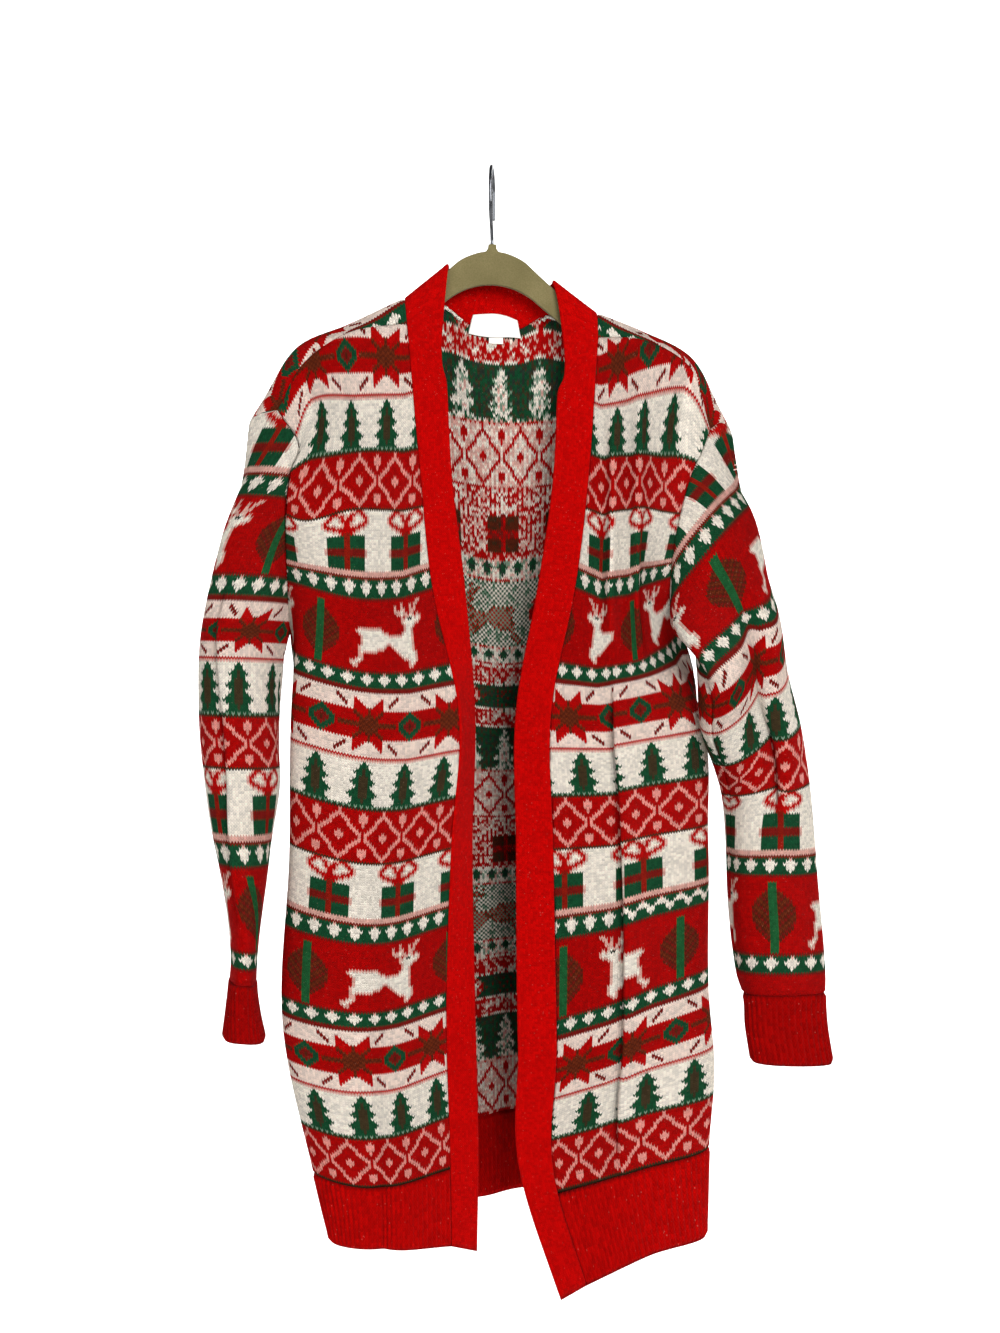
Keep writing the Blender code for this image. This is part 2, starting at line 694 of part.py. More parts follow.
def sleeve(rings, fold, puff, loop, loop_courses, falls, side):
    """A sleeve: rings that start on the armhole loop and let go of it as they leave it.

    Falls run from 0 at the armhole to 1 at the cuff, and past 1 down the cuff.
    """
    turns = np.linspace(0, 1, FINE_COLUMNS + 1)
    grid = np.empty((len(falls), len(turns), 3))
    start = ring_points(rings, loop_courses, turns)
    for index, fall in enumerate(falls):
        courses = loop_courses + min(fall, 1) * (SLEEVE_COURSES - loop_courses)
        courses = courses + max(fall - 1, 0) * SLEEVE_COURSES
        sample = ring_points(rings, courses, turns)
        apart = np.clip((courses - loop_courses) / LET_GO, 0, 1)[:, None]
        free = apart * (2 - apart)
        curve = sample + (loop - start) * (1 - free)
        spare = np.sin(pi * np.clip((courses - loop_courses) / puff.courses, 0, 1))
        spare = spare * ridge((turns - puff.turn) / puff.half)
        curve = curve + spare[:, None] * place(puff.out, puff.depth, puff.drop)
        tangent = unit(np.gradient(curve, axis=0))
        level = unit(np.stack([-tangent[:, 1], tangent[:, 0], 0 * tangent[:, 2]], axis=1)) * side
        local = (turns - fold.across) / fold.half
        lobe = (lap(local) * fold_window(fold, fall))[:, None]
        curve = curve + lobe * (level * fold.rise - tangent * fold.overlap) * MM
        length = lengths(curve)
        blend = 0.75 * eased(fall / 0.25)
        spaced = turns * (1 - blend) + length / length[-1] * blend
        grid[index] = resampled(curve, spaced, turns)
    return Cloth(falls, grid, np.zeros(len(falls)), np.ones(len(falls)), side)


# --------------------------------------------------------------------------- the cut pieces
def front(lines, armhole_lines, laps, ridges, outward):
    """A front panel with its hem, from the band seam to the side seam."""
    falls = FRONT_FALLS
    neck = across_at(V_NECK, falls)
    seam = across_at(FRONT_ARMHOLE, falls)
    middle = np.maximum(across_at(MIDDLE_LINE, falls), neck + MIDDLE_ROOM * MM)
    side = np.minimum(SIDE_LINE * MM, seam - SIDE_ROOM * MM)
    found = [line_at(rows, falls) for rows in lines + armhole_lines]
    return panel(found, [neck, middle, side, seam], falls, laps, ridges, outward)


def neck_line(edge, falls, left, centre, right):
    """A wale line of the back that starts on the neck seam and joins the lines around it."""
    across = np.array([NECK_FROM, BACK_MIDDLE, NECK_TO]) * MM
    around = [line_at(rows, NECK_KNOTS) for rows in (left, centre, right)]
    below = np.array([hermite(across, np.array(at), [edge.across * MM])[0] for at in zip(*around)])
    start = place([edge.out], [edge.depth], [edge.drop])
    return hermite(np.r_[NECK_FALL, NECK_KNOTS], np.r_[start, below], np.maximum(falls, NECK_FALL))


def back():
    """The back panel with its hem. Its neck columns count only from NECK_FALL down."""
    falls = BACK_FALLS
    start = across_at(BACK_ARMHOLE, falls)
    sides = [BACK_LEFT_SEAM, BACK_LEFT_SHOULDER, BACK_LEFT_MIDDLE, BACK_LEFT_NECK]
    others = [BACK_RIGHT_NECK, BACK_RIGHT_MIDDLE, BACK_RIGHT_SHOULDER, BACK_RIGHT_SEAM]
    left = [line_at(rows, falls) for rows in sides]
    right = [line_at(rows, falls) for rows in others]
    middle = []
    for edge in NECK_SEAM:
        line = neck_line(edge, falls, BACK_LEFT_NECK, BACK_CENTRE, BACK_RIGHT_NECK)
        share = (edge.across - NECK_FROM) / (NECK_TO - NECK_FROM)
        over = (left[-1] - line_at(BACK_LEFT_NECK, [NECK_FALL])) * (1 - share)
        over = over + (right[0] - line_at(BACK_RIGHT_NECK, [NECK_FALL])) * share
        middle.append(line + over * (falls < NECK_FALL)[:, None])
    fixed = [60, 100, NECK_FROM] + [e.across for e in NECK_SEAM] + [NECK_TO, 360, 400]
    stations = [start] + [np.full(len(falls), x * MM) for x in fixed] + [BACK_WIDTH - start]
    return panel(left + middle + right, stations, falls, [], BACK_RIPPLES, 1)


def armhole_loop(front_cloth, front_part, back_cloth, back_part):
    """The armhole as points at even turns: up the front edge to the tip, then down the back."""
    rise = np.linspace(UNDERARM, 0, 61)
    up = front_cloth.at(front_part, rise)[0]
    down = back_cloth.at(back_part, rise[::-1])[0]
    turns = np.linspace(0, 1, FINE_COLUMNS + 1)
    up_turn = lengths(up) / lengths(up)[-1] / 2
    down_turn = 0.5 + lengths(down) / lengths(down)[-1] / 2
    both = np.r_[up, down[1:]]
    return resampled(both, np.r_[up_turn, down_turn[1:]], turns)


def cap_courses(turns):
    """Course at which each part of the sleeve starts: none at the tip, the cap's at the underarm."""
    return CAP_COURSES * np.abs(1 - 2 * turns) ** 1.3


# ------------------------------------------------------------------------------ thick walls
class Piece:
    """Middle points of one wall as a coarse grid, its normals, and which quads there are."""

    def __init__(self, name, points, normals, closed=False, quads=None, tie=None):
        self.name = name
        self.points = points
        self.normals = normals
        self.closed = closed
        rows = points.shape[0] - 1
        columns = points.shape[1] if closed else points.shape[1] - 1
        self.quads = np.ones((rows, columns), bool) if quads is None else quads
        self.offsets = normals.copy()
        self.tie = tie

    def around(self):
        """Whether there is a quad up-left, up-right, down-left and down-right of each point."""
        rows, columns = self.points.shape[:2]
        padded = np.zeros((rows + 1, columns + 1), bool)
        if self.closed:
            padded[1:-1, :-1] = self.quads[:, np.arange(-1, columns - 1)]
            padded[1:-1, -1] = self.quads[:, columns - 1]
        else:
            padded[1:-1, 1:-1] = self.quads
        return padded[:-1, :-1], padded[:-1, 1:], padded[1:, :-1], padded[1:, 1:]

    def edge(self):
        """Points on the edge of the piece."""
        up_left, up_right, down_left, down_right = (part.astype(int) for part in self.around())
        total = up_left + up_right + down_left + down_right
        return (total > 0) & (total < 4)

    def inset(self):
        """Moves the edge inward in the plane of the cloth by half a seam gap."""
        up_left, up_right, down_left, down_right = (part.astype(int) for part in self.around())
        down = np.sign(down_left + down_right - up_left - up_right)
        right = np.sign(up_right + down_right - up_left - down_left)
        rows, columns = np.indices(self.points.shape[:2])
        total = up_left + up_right + down_left + down_right
        width = self.points.shape[1]
        below = self.points[np.clip(rows + down, 0, self.points.shape[0] - 1), columns]
        sideways = (columns + right) % width if self.closed else np.clip(columns + right, 0, width - 1)
        beside = self.points[rows, sideways]
        moved = self.points.copy()
        for toward, used in ((below, down != 0), (beside, right != 0)):
            heading = unit(toward - self.points)
            level = np.abs((heading * unit(self.offsets)).sum(-1, keepdims=True))
            reach = SEAM_GAP / 2 / np.sqrt(np.maximum(1 - level**2, INSET_LIMIT))
            moved += heading * reach * (used & (total < 4))[..., None]
        self.points = moved


def share_normals(pieces):
    """Gives points that meet at a seam one offset direction, lengthened as at a mitre."""
    edges = [(piece, np.argwhere(piece.edge())) for piece in pieces]
    points = np.concatenate([piece.points[tuple(found.T)] for piece, found in edges])
    normals = np.concatenate([piece.normals[tuple(found.T)] for piece, found in edges])
    apart = np.linalg.norm(points[:, None] - points[None], axis=-1) < 0.02 * MM
    owner = np.concatenate([np.full(len(found), k) for k, (_, found) in enumerate(edges)])
    mean = unit(apart.astype(float) @ normals)
    lean = (mean * normals).sum(-1)
    least = np.where(apart, lean[None, :], 1.0).min(axis=1)
    offset = mean / np.maximum(least, MITRE_LIMIT)[:, None]
    for k, (piece, found) in enumerate(edges):
        piece.offsets[tuple(found.T)] = offset[owner == k]
        if piece.tie is not None:
            kept, positions = piece.tie
            given = np.r_[positions[kept], 1] if piece.closed else positions[kept]
            line = piece.offsets[0][kept]
            line = np.r_[line, line[:1]] if piece.closed else line
            piece.offsets[0] = resampled(line, given, positions)


def wall(piece, thick, colour, raised=None):
    """A closed wall of a given thickness about the middle points of a piece.

    The rim is split the same way round on both sides of a seam, so a twisted rim never touches.
    """
    rows, columns = piece.points.shape[:2]
    lift = thick / 2 if raised is None else thick / 2 + raised
    outer = piece.points + piece.offsets * (lift if raised is None else lift[..., None])
    inner = piece.points - piece.offsets * thick / 2
    count = rows * columns
    quads = []
    for row, column in np.argwhere(piece.quads):
        beside = (column + 1) % columns
        here = row * columns
        quads.append((here + column, here + beside, here + columns + beside, here + columns + column))
    used = {(quad[k], quad[(k + 1) % 4]) for quad in quads for k in range(4)}
    order = piece.points.reshape(-1, 3) @ RIM_ORDER
    faces = list(quads)
    faces += [tuple(count + index for index in reversed(quad)) for quad in quads]
    for a, b in sorted(used):
        if (b, a) in used:
            continue
        if order[a] < order[b]:
            faces += [(b, a, count + b), (a, count + a, count + b)]
        else:
            faces += [(b, a, count + a), (b, count + a, count + b)]
    mesh = bpy.data.meshes.new(piece.name)
    body = bmesh.new()
    corners = np.concatenate([outer.reshape(-1, 3), inner.reshape(-1, 3)])
    verts = [body.verts.new(corner) for corner in corners]
    for face in faces:
        body.faces.new([verts[index] for index in face])
    bmesh.ops.delete(body, geom=[v for v in body.verts if not v.link_faces], context="VERTS")
    bmesh.ops.recalc_face_normals(body, faces=body.faces)
    bmesh.ops.triangulate(body, faces=body.faces, quad_method="SHORT_EDGE")
    body.to_mesh(mesh)
    body.free()
    return add(piece.name, mesh, colour)


def ribbed(name, points, offsets, columns, closed=False):
    """A ribbed edge: the last rows of a piece with more columns, whose outer points stand up."""
    if closed:
        points = np.concatenate([points, points[:, :1]], axis=1)
        offsets = np.concatenate([offsets, offsets[:, :1]], axis=1)
    given = np.linspace(0, 1, points.shape[1])
    wanted = np.linspace(0, 1, columns, endpoint=not closed)
    middle = np.array([resampled(line, given, wanted) for line in points])
    lines = np.array([resampled(line, given, wanted) for line in offsets])
    piece = Piece(name, middle, unit(lines), closed)
    piece.offsets = lines
    piece.inset()
    raised = np.zeros(middle.shape[:2])
    raised[:, ::2] = RIB_RISE
    return wall(piece, RIB_KNIT, RIB_RED, raised)


# --------------------------------------------------------------------------------- objects
def material(name, colour, rough, metallic):
    """A plain material of its own for one object."""
    made = bpy.data.materials.new(name)
    made.use_nodes = True
    shader = made.node_tree.nodes["Principled BSDF"]
    shader.inputs["Base Color"].default_value = (*colour, 1)
    shader.inputs["Roughness"].default_value = rough
    shader.inputs["Metallic"].default_value = metallic
    return made


def add(name, data, colour, rough=0.9, metallic=0.0):
    """Adds an object with its own material to the cardigan's collection."""
    thing = bpy.data.objects.new(name, data)
    bpy.data.collections[COLLECTION].objects.link(thing)
    data.materials.append(material(name, colour, rough, metallic))
    return thing


def upright(point):
    """A point of a flat outline, (out, drop) in millimetres, turned by the hanger's tilt."""
    out = (point[0] - TILT_ABOUT[0]) * MM
    rise = -(point[1] - TILT_ABOUT[1]) * MM
    turn = -HANGER_TILT
    across = out * cos(turn) - rise * sin(turn) + TILT_ABOUT[0] * MM
    height = out * sin(turn) + rise * cos(turn) - TILT_ABOUT[1] * MM
    return across, height


def hanger_body():
    """The arched body as one flat outline with rounded edges, with the spike under the hook."""
    spike = [(SPIKE_TOP, SPIKE_TOP_DROP), (SPIKE_BASE, HANGER_TOP[0][1] + SPIKE_FOOT)]
    right = spike + HANGER_TOP[1:] + HANGER_UNDER[::-1]
    outline = right + [(-x, d) for x, d in reversed(right) if x > 0]
    curve = bpy.data.curves.new("hanger_body", "CURVE")
    curve.dimensions = "2D"
    curve.fill_mode = "BOTH"
    curve.extrude = HANGER_THICK / 2 - HANGER_EDGE
    curve.bevel_depth = HANGER_EDGE
    curve.bevel_resolution = 1
    spline = curve.splines.new("POLY")
    spline.points.add(len(outline) - 1)
    for point, given in zip(spline.points, outline):
        across, height = upright(given)
        point.co = (across, height, 0, 1)
    spline.use_cyclic_u = True
    body = add("hanger_body", curve, FLOCK_OLIVE)
    body.rotation_euler = (pi / 2, 0, 0)
    return body


def hook():
    """The wire hook: free end at the back, over the rod, then down and in to the spike."""
    line = HOOK_RADIUS + WIRE / 2
    path = [(line, HOOK_END)]
    path += [(line * cos(a), line * sin(a) - HOOK_RADIUS) for a in np.linspace(0, pi, 17)]
    path += [(y * MM, -d * MM) for y, d in STEM]
    curve = bpy.data.curves.new("hanger_hook", "CURVE")
    curve.dimensions = "3D"
    curve.bevel_depth = WIRE / 2
    curve.bevel_resolution = 3
    curve.use_fill_caps = True
    spline = curve.splines.new("POLY")
    spline.points.add(len(path) - 1)
    for point, (depth, height) in zip(spline.points, path):
        point.co = (depth * sin(HOOK_TURN), depth * cos(HOOK_TURN), height, 1)
    return add("hanger_hook", curve, STEEL_GREY, 0.15, 1.0)


def flap(name, rows, behind):
    """A label or tab: a small plate on the inside of the cloth, laid on it point by point."""
    middle = np.empty((len(rows), len(rows[0].points), 3))
    for row, sewn in enumerate(rows):
        for column, (out, drop) in enumerate(sewn.points):
            start = place(out, LABEL_FROM, drop)
            depth = min(tree.ray_cast(start, (0, 1, 0))[3] or 1 for tree in behind)
            middle[row, column] = start + [0, depth - sewn.clear * MM - LABEL_THICK / 2, 0]
    down = np.gradient(middle, axis=0)
    across = np.gradient(middle, axis=1)
    piece = Piece(name, middle, -unit(np.cross(across, down)))
    return wall(piece, LABEL_THICK, LABEL_WHITE)


def tree_of(thing):
    """The faces of an object, to be met by a ray."""
    points = [vertex.co for vertex in thing.data.vertices]
    return BVHTree.FromPolygons(points, [face.vertices for face in thing.data.polygons])


# ------------------------------------------------------------------------------------ build
def clear():
    """Removes what the scene holds and adds the cardigan's collection to it."""
    for thing in list(bpy.data.objects):
        bpy.data.objects.remove(thing, do_unlink=True)
    made = bpy.data.collections.new(COLLECTION)
    bpy.context.scene.collection.children.link(made)


def coarse_front(cloth, parts, matched):
    """Coarse grid of a front. Its shoulder row is straight between the matched columns."""
    points, normals = cloth.at(np.array(parts)[None, :], np.array(FRONT_ROWS)[:, None])
    kept = [parts.index(part) for part in matched]
    given = np.array(parts)[kept]
    points[0] = resampled(points[0][kept], given, np.array(parts))
    normals[0] = unit(resampled(normals[0][kept], given, np.array(parts)))
    return points, normals, kept


def coarse_back(cloth, left_front, left_kept, right_front, right_kept):
    """Coarse grid of the back, its shoulder row and side columns taken from the fronts."""
    falls = np.array(BACK_ROWS)[:, None]
    start = np.interp(falls, cloth.falls, cloth.first)
    left_share = shares(left_front[0][left_kept][::-1])
    right_share = shares(right_front[0][right_kept])
    neck = np.array([e.across for e in NECK_SEAM]) * MM
    columns = [
        start + left_share[None, :] * (NECK_FROM * MM - start),
        np.broadcast_to(neck, (len(falls), len(neck))),
        NECK_TO * MM + right_share[None, :] * (BACK_WIDTH - start - NECK_TO * MM),
    ]
    across = np.concatenate(columns, axis=1)
    points, normals = cloth.at(cloth.part_of(across, falls), falls)
    points[0, : len(left_kept)] = left_front[0][left_kept][::-1]
    points[0, -len(right_kept) :] = right_front[0][right_kept]
    shared = len([fall for fall in BACK_ROWS if fall >= UNDERARM])
    points[-shared:, 0] = left_front[-shared:, -1]
    points[-shared:, -1] = right_front[-shared:, -1]
    quads = np.ones((len(BACK_ROWS) - 1, across.shape[1] - 1), bool)
    above = len([fall for fall in BACK_ROWS if fall < NECK_FALL])
    quads[:above, len(left_kept) - 1 : len(left_kept) + len(neck)] = False
    return points, normals, quads


def shares(line):
    """Share of the length of a line at each of its points."""
    length = lengths(line)
    return length / length[-1]


def coarse_sleeve(cloth, front_grid, back_grid, back_column, extra):
    """Coarse grid of a sleeve: its first ring takes the armhole points of the two panels."""
    held = len([fall for fall in FRONT_ROWS if fall <= UNDERARM])
    held_back = len([fall for fall in BACK_ROWS if fall <= UNDERARM])
    up = front_grid[:held, -1][::-1]
    down = back_grid[:held_back, back_column]
    matched = np.r_[shares(up) / 2, 0.5 + shares(down)[1:-1] / 2]
    ring = np.r_[up, down[1:-1]]
    turns = np.array(sorted(set(matched) | set(extra)))
    points, normals = cloth.at(turns[None, :], np.array(SLEEVE_ROWS)[:, None])
    points[0] = resampled(np.r_[ring, up[:1]], np.r_[matched, 1], turns)
    return points, normals, (np.searchsorted(turns, matched), turns)


def strip(name, outer, inner, outward):
    """A band between two lines of points."""
    share = np.array(BAND_SHARES)[None, :, None]
    points = outer[:, None] * (1 - share) + inner[:, None] * share
    down = np.gradient(points, axis=0)
    across = np.gradient(points, axis=1)
    normals = unit(np.cross(across, down)) * outward
    return Piece(name, points, normals)


def build():
    """Makes every piece of the cardigan and its hanger."""
    clear()
    left = front([LEFT_EDGE, LEFT_MIDDLE, LEFT_SIDE], [LEFT_SEAM], [], LEFT_FOLDS, 1)
    right = front([RIGHT_EDGE, RIGHT_MIDDLE, RIGHT_SIDE], [RIGHT_SEAM], RIGHT_FOLDS, RIGHT_PLEATS, -1)
    behind = back()

    left_grid, left_normals, left_kept = coarse_front(left, LEFT_PARTS, LEFT_MATCHED)
    right_grid, right_normals, right_kept = coarse_front(right, RIGHT_PARTS, RIGHT_MATCHED)
    back_grid, back_normals, quads = coarse_back(
        behind, left_grid, left_kept, right_grid, right_kept
    )

    sleeves = []
    for cloth, grid, column, rings, fold, puff, side in (
        (left, left_grid, 0, LEFT_RINGS, LEFT_SLEEVE_FOLD, LEFT_PUFF, 1),
        (right, right_grid, -1, RIGHT_RINGS, RIGHT_SLEEVE_FOLD, RIGHT_PUFF, -1),
    ):
        loop = armhole_loop(cloth, 1.0, behind, 0.0 if column == 0 else 1.0)
        turns = np.linspace(0, 1, FINE_COLUMNS + 1)
        arm = sleeve(rings, fold, puff, loop, cap_courses(turns), SLEEVE_FALLS, side)
        sleeves.append(coarse_sleeve(arm, grid, back_grid, column, SLEEVE_TURNS))

    body = len([fall for fall in FRONT_ROWS if fall <= 1])
    body_back = len([fall for fall in BACK_ROWS if fall <= 1])
    arms = len([fall for fall in SLEEVE_ROWS if fall <= 1])

    above = [row for row, fall in enumerate(BACK_ROWS) if 0 < fall <= RIDGE_FALL]
    left_neck = len(left_kept) - 1
    right_neck = left_neck + len(NECK_SEAM) + 1
    behind_rows = [row for row, fall in enumerate(BACK_ROWS) if RIDGE_FALL <= fall <= NECK_FALL]
    seam_row = behind_rows[-1]

    over_left = back_grid[above[::-1], left_neck]
    over_right = back_grid[above[::-1], right_neck]
    rises = -np.array([BACK_ROWS[row] for row in above[::-1]])
    band_falls = np.r_[rises, FRONT_ROWS]
    band_left = strip(
        "band_left", np.r_[over_left, left_grid[:, 0]], line_at(BAND_LEFT_INNER, band_falls), -1
    )
    band_right = strip(
        "band_right", np.r_[over_right, right_grid[:, 0]], line_at(BAND_RIGHT_INNER, band_falls), 1
    )
    neck_outer = np.r_[
        back_grid[behind_rows, left_neck],
        back_grid[seam_row, left_neck + 1 : right_neck],
        back_grid[behind_rows[::-1], right_neck],
    ]
    band_neck = strip("band_neck", neck_outer, line_at(NECK_INNER, shares(neck_outer)), 1)

    pieces = [
        Piece("front_left", left_grid, left_normals, tie=(left_kept, np.array(LEFT_PARTS))),
        Piece("front_right", right_grid, right_normals, tie=(right_kept, np.array(RIGHT_PARTS))),
        Piece("back_panel", back_grid, back_normals, quads=quads),
        Piece("sleeve_left", *sleeves[0][:2], closed=True, tie=sleeves[0][2]),
        Piece("sleeve_right", *sleeves[1][:2], closed=True, tie=sleeves[1][2]),
        band_left,
        band_right,
        band_neck,
    ]
    share_normals(pieces)
    bands = {"band_left", "band_right", "band_neck"}
    cut = {"front_left": body, "front_right": body, "back_panel": body_back}
    hems = {
        "front_left": ("hem_front_left", FRONT_RIBS),
        "front_right": ("hem_front_right", FRONT_RIBS),
        "back_panel": ("hem_back", BACK_RIBS),
    }
    walls = {}
    for piece in pieces:
        if piece.name in hems:
            name, ribs = hems[piece.name]
            last = cut[piece.name]
            ribbed(name, piece.points[last - 1 :], piece.offsets[last - 1 :], 2 * ribs + 1)
            trimmed(piece, last)
        if piece.name.startswith("sleeve"):
            name = piece.name.replace("sleeve", "cuff")
            ribbed(name, piece.points[arms - 1 :], piece.offsets[arms - 1 :], 2 * CUFF_RIBS, True)
            trimmed(piece, arms)
        piece.inset()
        if piece.name in bands:
            walls[piece.name] = wall(piece, BAND_KNIT, BAND_RED)
        else:
            walls[piece.name] = wall(piece, KNIT, PANEL_RED)

    backing = [tree_of(walls["band_neck"]), tree_of(walls["back_panel"])]
    flap("neck_label", LABEL, backing)
    flap("size_tab", SIZE_TAB, backing)
    hanger_body()
    hook()


def trimmed(piece, rows):
    """Keeps the first rows of a piece."""
    piece.points = piece.points[:rows]
    piece.normals = piece.normals[:rows]
    piece.offsets = piece.offsets[:rows]
    piece.quads = piece.quads[: rows - 1]


build()
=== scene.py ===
"""Christmas cardigan on its hanger: the looks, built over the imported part.

Millimetre tables as in the part: out is +X, depth is +Y and drop is the distance below the hook.
Each jacquard piece is a closed wall with one face for each stitch. Its colours come from charts
that are counted in courses down and wales across.
"""
from collections import namedtuple
from math import cos, pi, radians, sin

import bpy
import numpy as np
from mathutils import Matrix
from mathutils.bvhtree import BVHTree


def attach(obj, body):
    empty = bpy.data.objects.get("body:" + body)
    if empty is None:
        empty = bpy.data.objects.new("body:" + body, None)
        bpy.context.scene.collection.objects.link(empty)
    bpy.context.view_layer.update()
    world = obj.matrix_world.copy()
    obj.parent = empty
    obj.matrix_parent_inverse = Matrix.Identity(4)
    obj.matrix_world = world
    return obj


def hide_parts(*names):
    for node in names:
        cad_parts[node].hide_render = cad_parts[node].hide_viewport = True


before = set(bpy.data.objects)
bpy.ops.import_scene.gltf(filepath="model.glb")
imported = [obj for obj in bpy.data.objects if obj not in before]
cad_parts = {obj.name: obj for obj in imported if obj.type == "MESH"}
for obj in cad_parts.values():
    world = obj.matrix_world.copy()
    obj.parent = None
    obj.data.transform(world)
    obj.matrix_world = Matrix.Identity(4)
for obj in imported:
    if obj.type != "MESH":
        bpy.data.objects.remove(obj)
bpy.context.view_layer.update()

MM = 0.001

KNIT = 2.6 * MM
BAND_KNIT = 3.0 * MM
RIB_KNIT = 2.6 * MM
RIB_RISE = 0.8 * MM
RIB_HOLLOW = 0.5 * MM
RIB_BACK_HOLLOW = 0.7 * MM
WALE = 2.3 * MM
COURSE = 2.05 * MM
BODY_COURSES = 349
SLEEVE_COURSES = 210
CAP_COURSES = 30
BACK_WIDTH = 460 * MM
BACK_WALES = 200
BACK_SPARE = 8
BACK_TIP_ACROSS = 9 * MM
FRONT_WIDTH = 190 * MM
FRONT_WALES = 102
FRONT_SPARE = 4
NECK_CUT = 45 * MM
SHOULDER_WIDTH = 136 * MM
HEM_FALL = 1.09
CUFF_FALL = 1.157
CUFF_ROUND = 185 * MM
SLEEVE_HALF_WALES = 90
LEFT_SLEEVE_STARTS = 74
RIGHT_SLEEVE_STARTS = 76
BAND_WIDTH = 33 * MM
RIB_COURSES = 17
COLUMNS_A_RIB = 6
CUFF_RIBS = 37
FRONT_RIBS = 38
BACK_RIBS = 92

HANGER_THICK = 5 * MM
HANGER_EDGE = 1.2 * MM
HANGER_TILT = radians(1.3)
TILT_ABOUT = (1, 76)
SPIKE_BASE = 5
SPIKE_TOP = 2.2
SPIKE_TOP_DROP = 65.8
WIRE = 3 * MM
HOOK_RADIUS = 18 * MM
HOOK_END = -41 * MM
HOOK_TURN = radians(4)
LABEL_THICK = 0.6 * MM
LABEL_FROM = 4
LABEL_SIZE = (42 * MM, 17 * MM)
TAB_SIZE = (12.5 * MM, 9.6 * MM)

LET_GO = 42
LEVEL_LEAN = 0.03
UNDERARM = 0.33
RIDGE_FALL = 0.030
NECK_FALL = 0.055
NECK_FROM = 145
BACK_MIDDLE = 227
NECK_TO = 315
LEFT_TIP = 16
RIGHT_TIP = 26
BACK_TIP = 14
NECK_START = 8
NECK_SCOOP = 4.6

# How far in from an edge the knit swells to its full thickness.
SEAM_ROUND = 2.2 * MM
TUCKED_ROUND = 1.2 * MM
NECK_SIDE_ROUND = 2.0 * MM
RIB_SIDE_ROUND = 1.5 * MM
FREE_ROUND = 1.6 * MM
BAND_SEAM_ROUND = 2.4 * MM
BAND_FOOT_ROUND = 1.5 * MM
CUT_ROUND = 0.4 * MM

SIDE_LINE = 150
MIDDLE_ROOM = 30
SIDE_ROOM = 16
NECK_KNOTS = [0.16, 0.28, 0.42, 0.61, 0.80, 1.00, 1.09]

FINE_COLUMNS = 240
FOLD_FADE = 12 * MM
MEET_FALL = 0.02
MEET_COLUMNS = 8.0
HAIR = 1e-6
LEVEL_UNTIL = 0.75

Row = namedtuple("Row", "fall out depth drop")
Fold = namedtuple("Fold", "across start end half overlap rise")
Ring = namedtuple("Ring", "course out depth drop in_out in_depth in_drop half")
Wale = namedtuple("Wale", "fall across")
Edge = namedtuple("Edge", "across out depth drop")
Puff = namedtuple("Puff", "turn half courses out depth drop")
Sewn = namedtuple("Sewn", "clear points")

# ---------------------------------------------------------------- wale lines of the left front
LEFT_EDGE = [
    Row(0.00, -72, -8, 133),
    Row(0.08, -66.5, -14, 194),
    Row(0.16, -60.5, -19, 258),
    Row(0.30, -49, -27, 362.5),
    Row(0.42, -28.5, -31, 454),
    Row(0.60, -34, -33, 575),
    Row(0.80, -38, -33, 711),
    Row(1.00, -34.5, -31, 842),
    Row(1.09, -33.6, -29, 907),
]
LEFT_MIDDLE = [
    Row(0.00, -121, -8, 140.7),
    Row(0.08, -114, -17, 211),
    Row(0.16, -113, -26, 271),
    Row(0.30, -110.5, -37, 380),
    Row(0.42, -104, -41, 465),
    Row(0.60, -102, -43, 590),
    Row(0.80, -100, -43, 728),
    Row(1.00, -97, -38, 857),
    Row(1.09, -96, -38, 908),
]
LEFT_SIDE = [
    Row(0.00, -160, -9, 167.6),
    Row(0.08, -149, -15, 226),
    Row(0.16, -160, -18, 291),
    Row(0.25, -162, -18, 342),
    Row(0.33, -163, -17, 396),
    Row(0.42, -168, -12, 458),
    Row(0.60, -170, -9, 582),
    Row(0.80, -176, -8, 722),
    Row(1.00, -150, -8, 850),
    Row(1.09, -136, -9, 908),
]
LEFT_SEAM = [
    Row(0.00, -181, -12, 207),
    Row(0.05, -162.5, -14, 236),
    Row(0.10, -170, -10, 258),
    Row(0.16, -174, -9, 289),
    Row(0.25, -174, -7, 341),
    Row(0.33, -171, 0, 394),
    Row(0.42, -164, 13, 459),
    Row(0.60, -160, 19, 582),
    Row(0.80, -167, 20, 722),
    Row(1.00, -141, 17, 850),
    Row(1.09, -126.5, 15, 904),
]

# --------------------------------------------------------------- wale lines of the right front
RIGHT_EDGE = [
    Row(0.00, 90, -8, 144.7),
    Row(0.08, 86, -14, 202.7),
    Row(0.16, 81.6, -19, 261.4),
    Row(0.30, 69, -26, 361.7),
    Row(0.42, 50.6, -29, 452.6),
    Row(0.60, 51.4, -31, 576.4),
    Row(0.80, 54, -38, 735),
    Row(1.00, 54.5, -48, 857),
    Row(1.09, 77.5, -62, 928),
]
RIGHT_MIDDLE = [
    Row(0.00, 126, -8, 146.5),
    Row(0.08, 121.6, -17, 221),
    Row(0.16, 119, -25, 277.5),
    Row(0.30, 115.6, -33, 379.5),
    Row(0.42, 120, -38, 457),
    Row(0.60, 121, -42, 571),
    Row(0.80, 119, -46, 713.6),
    Row(1.00, 119, -50, 838),
    Row(1.09, 128, -54, 907),
]
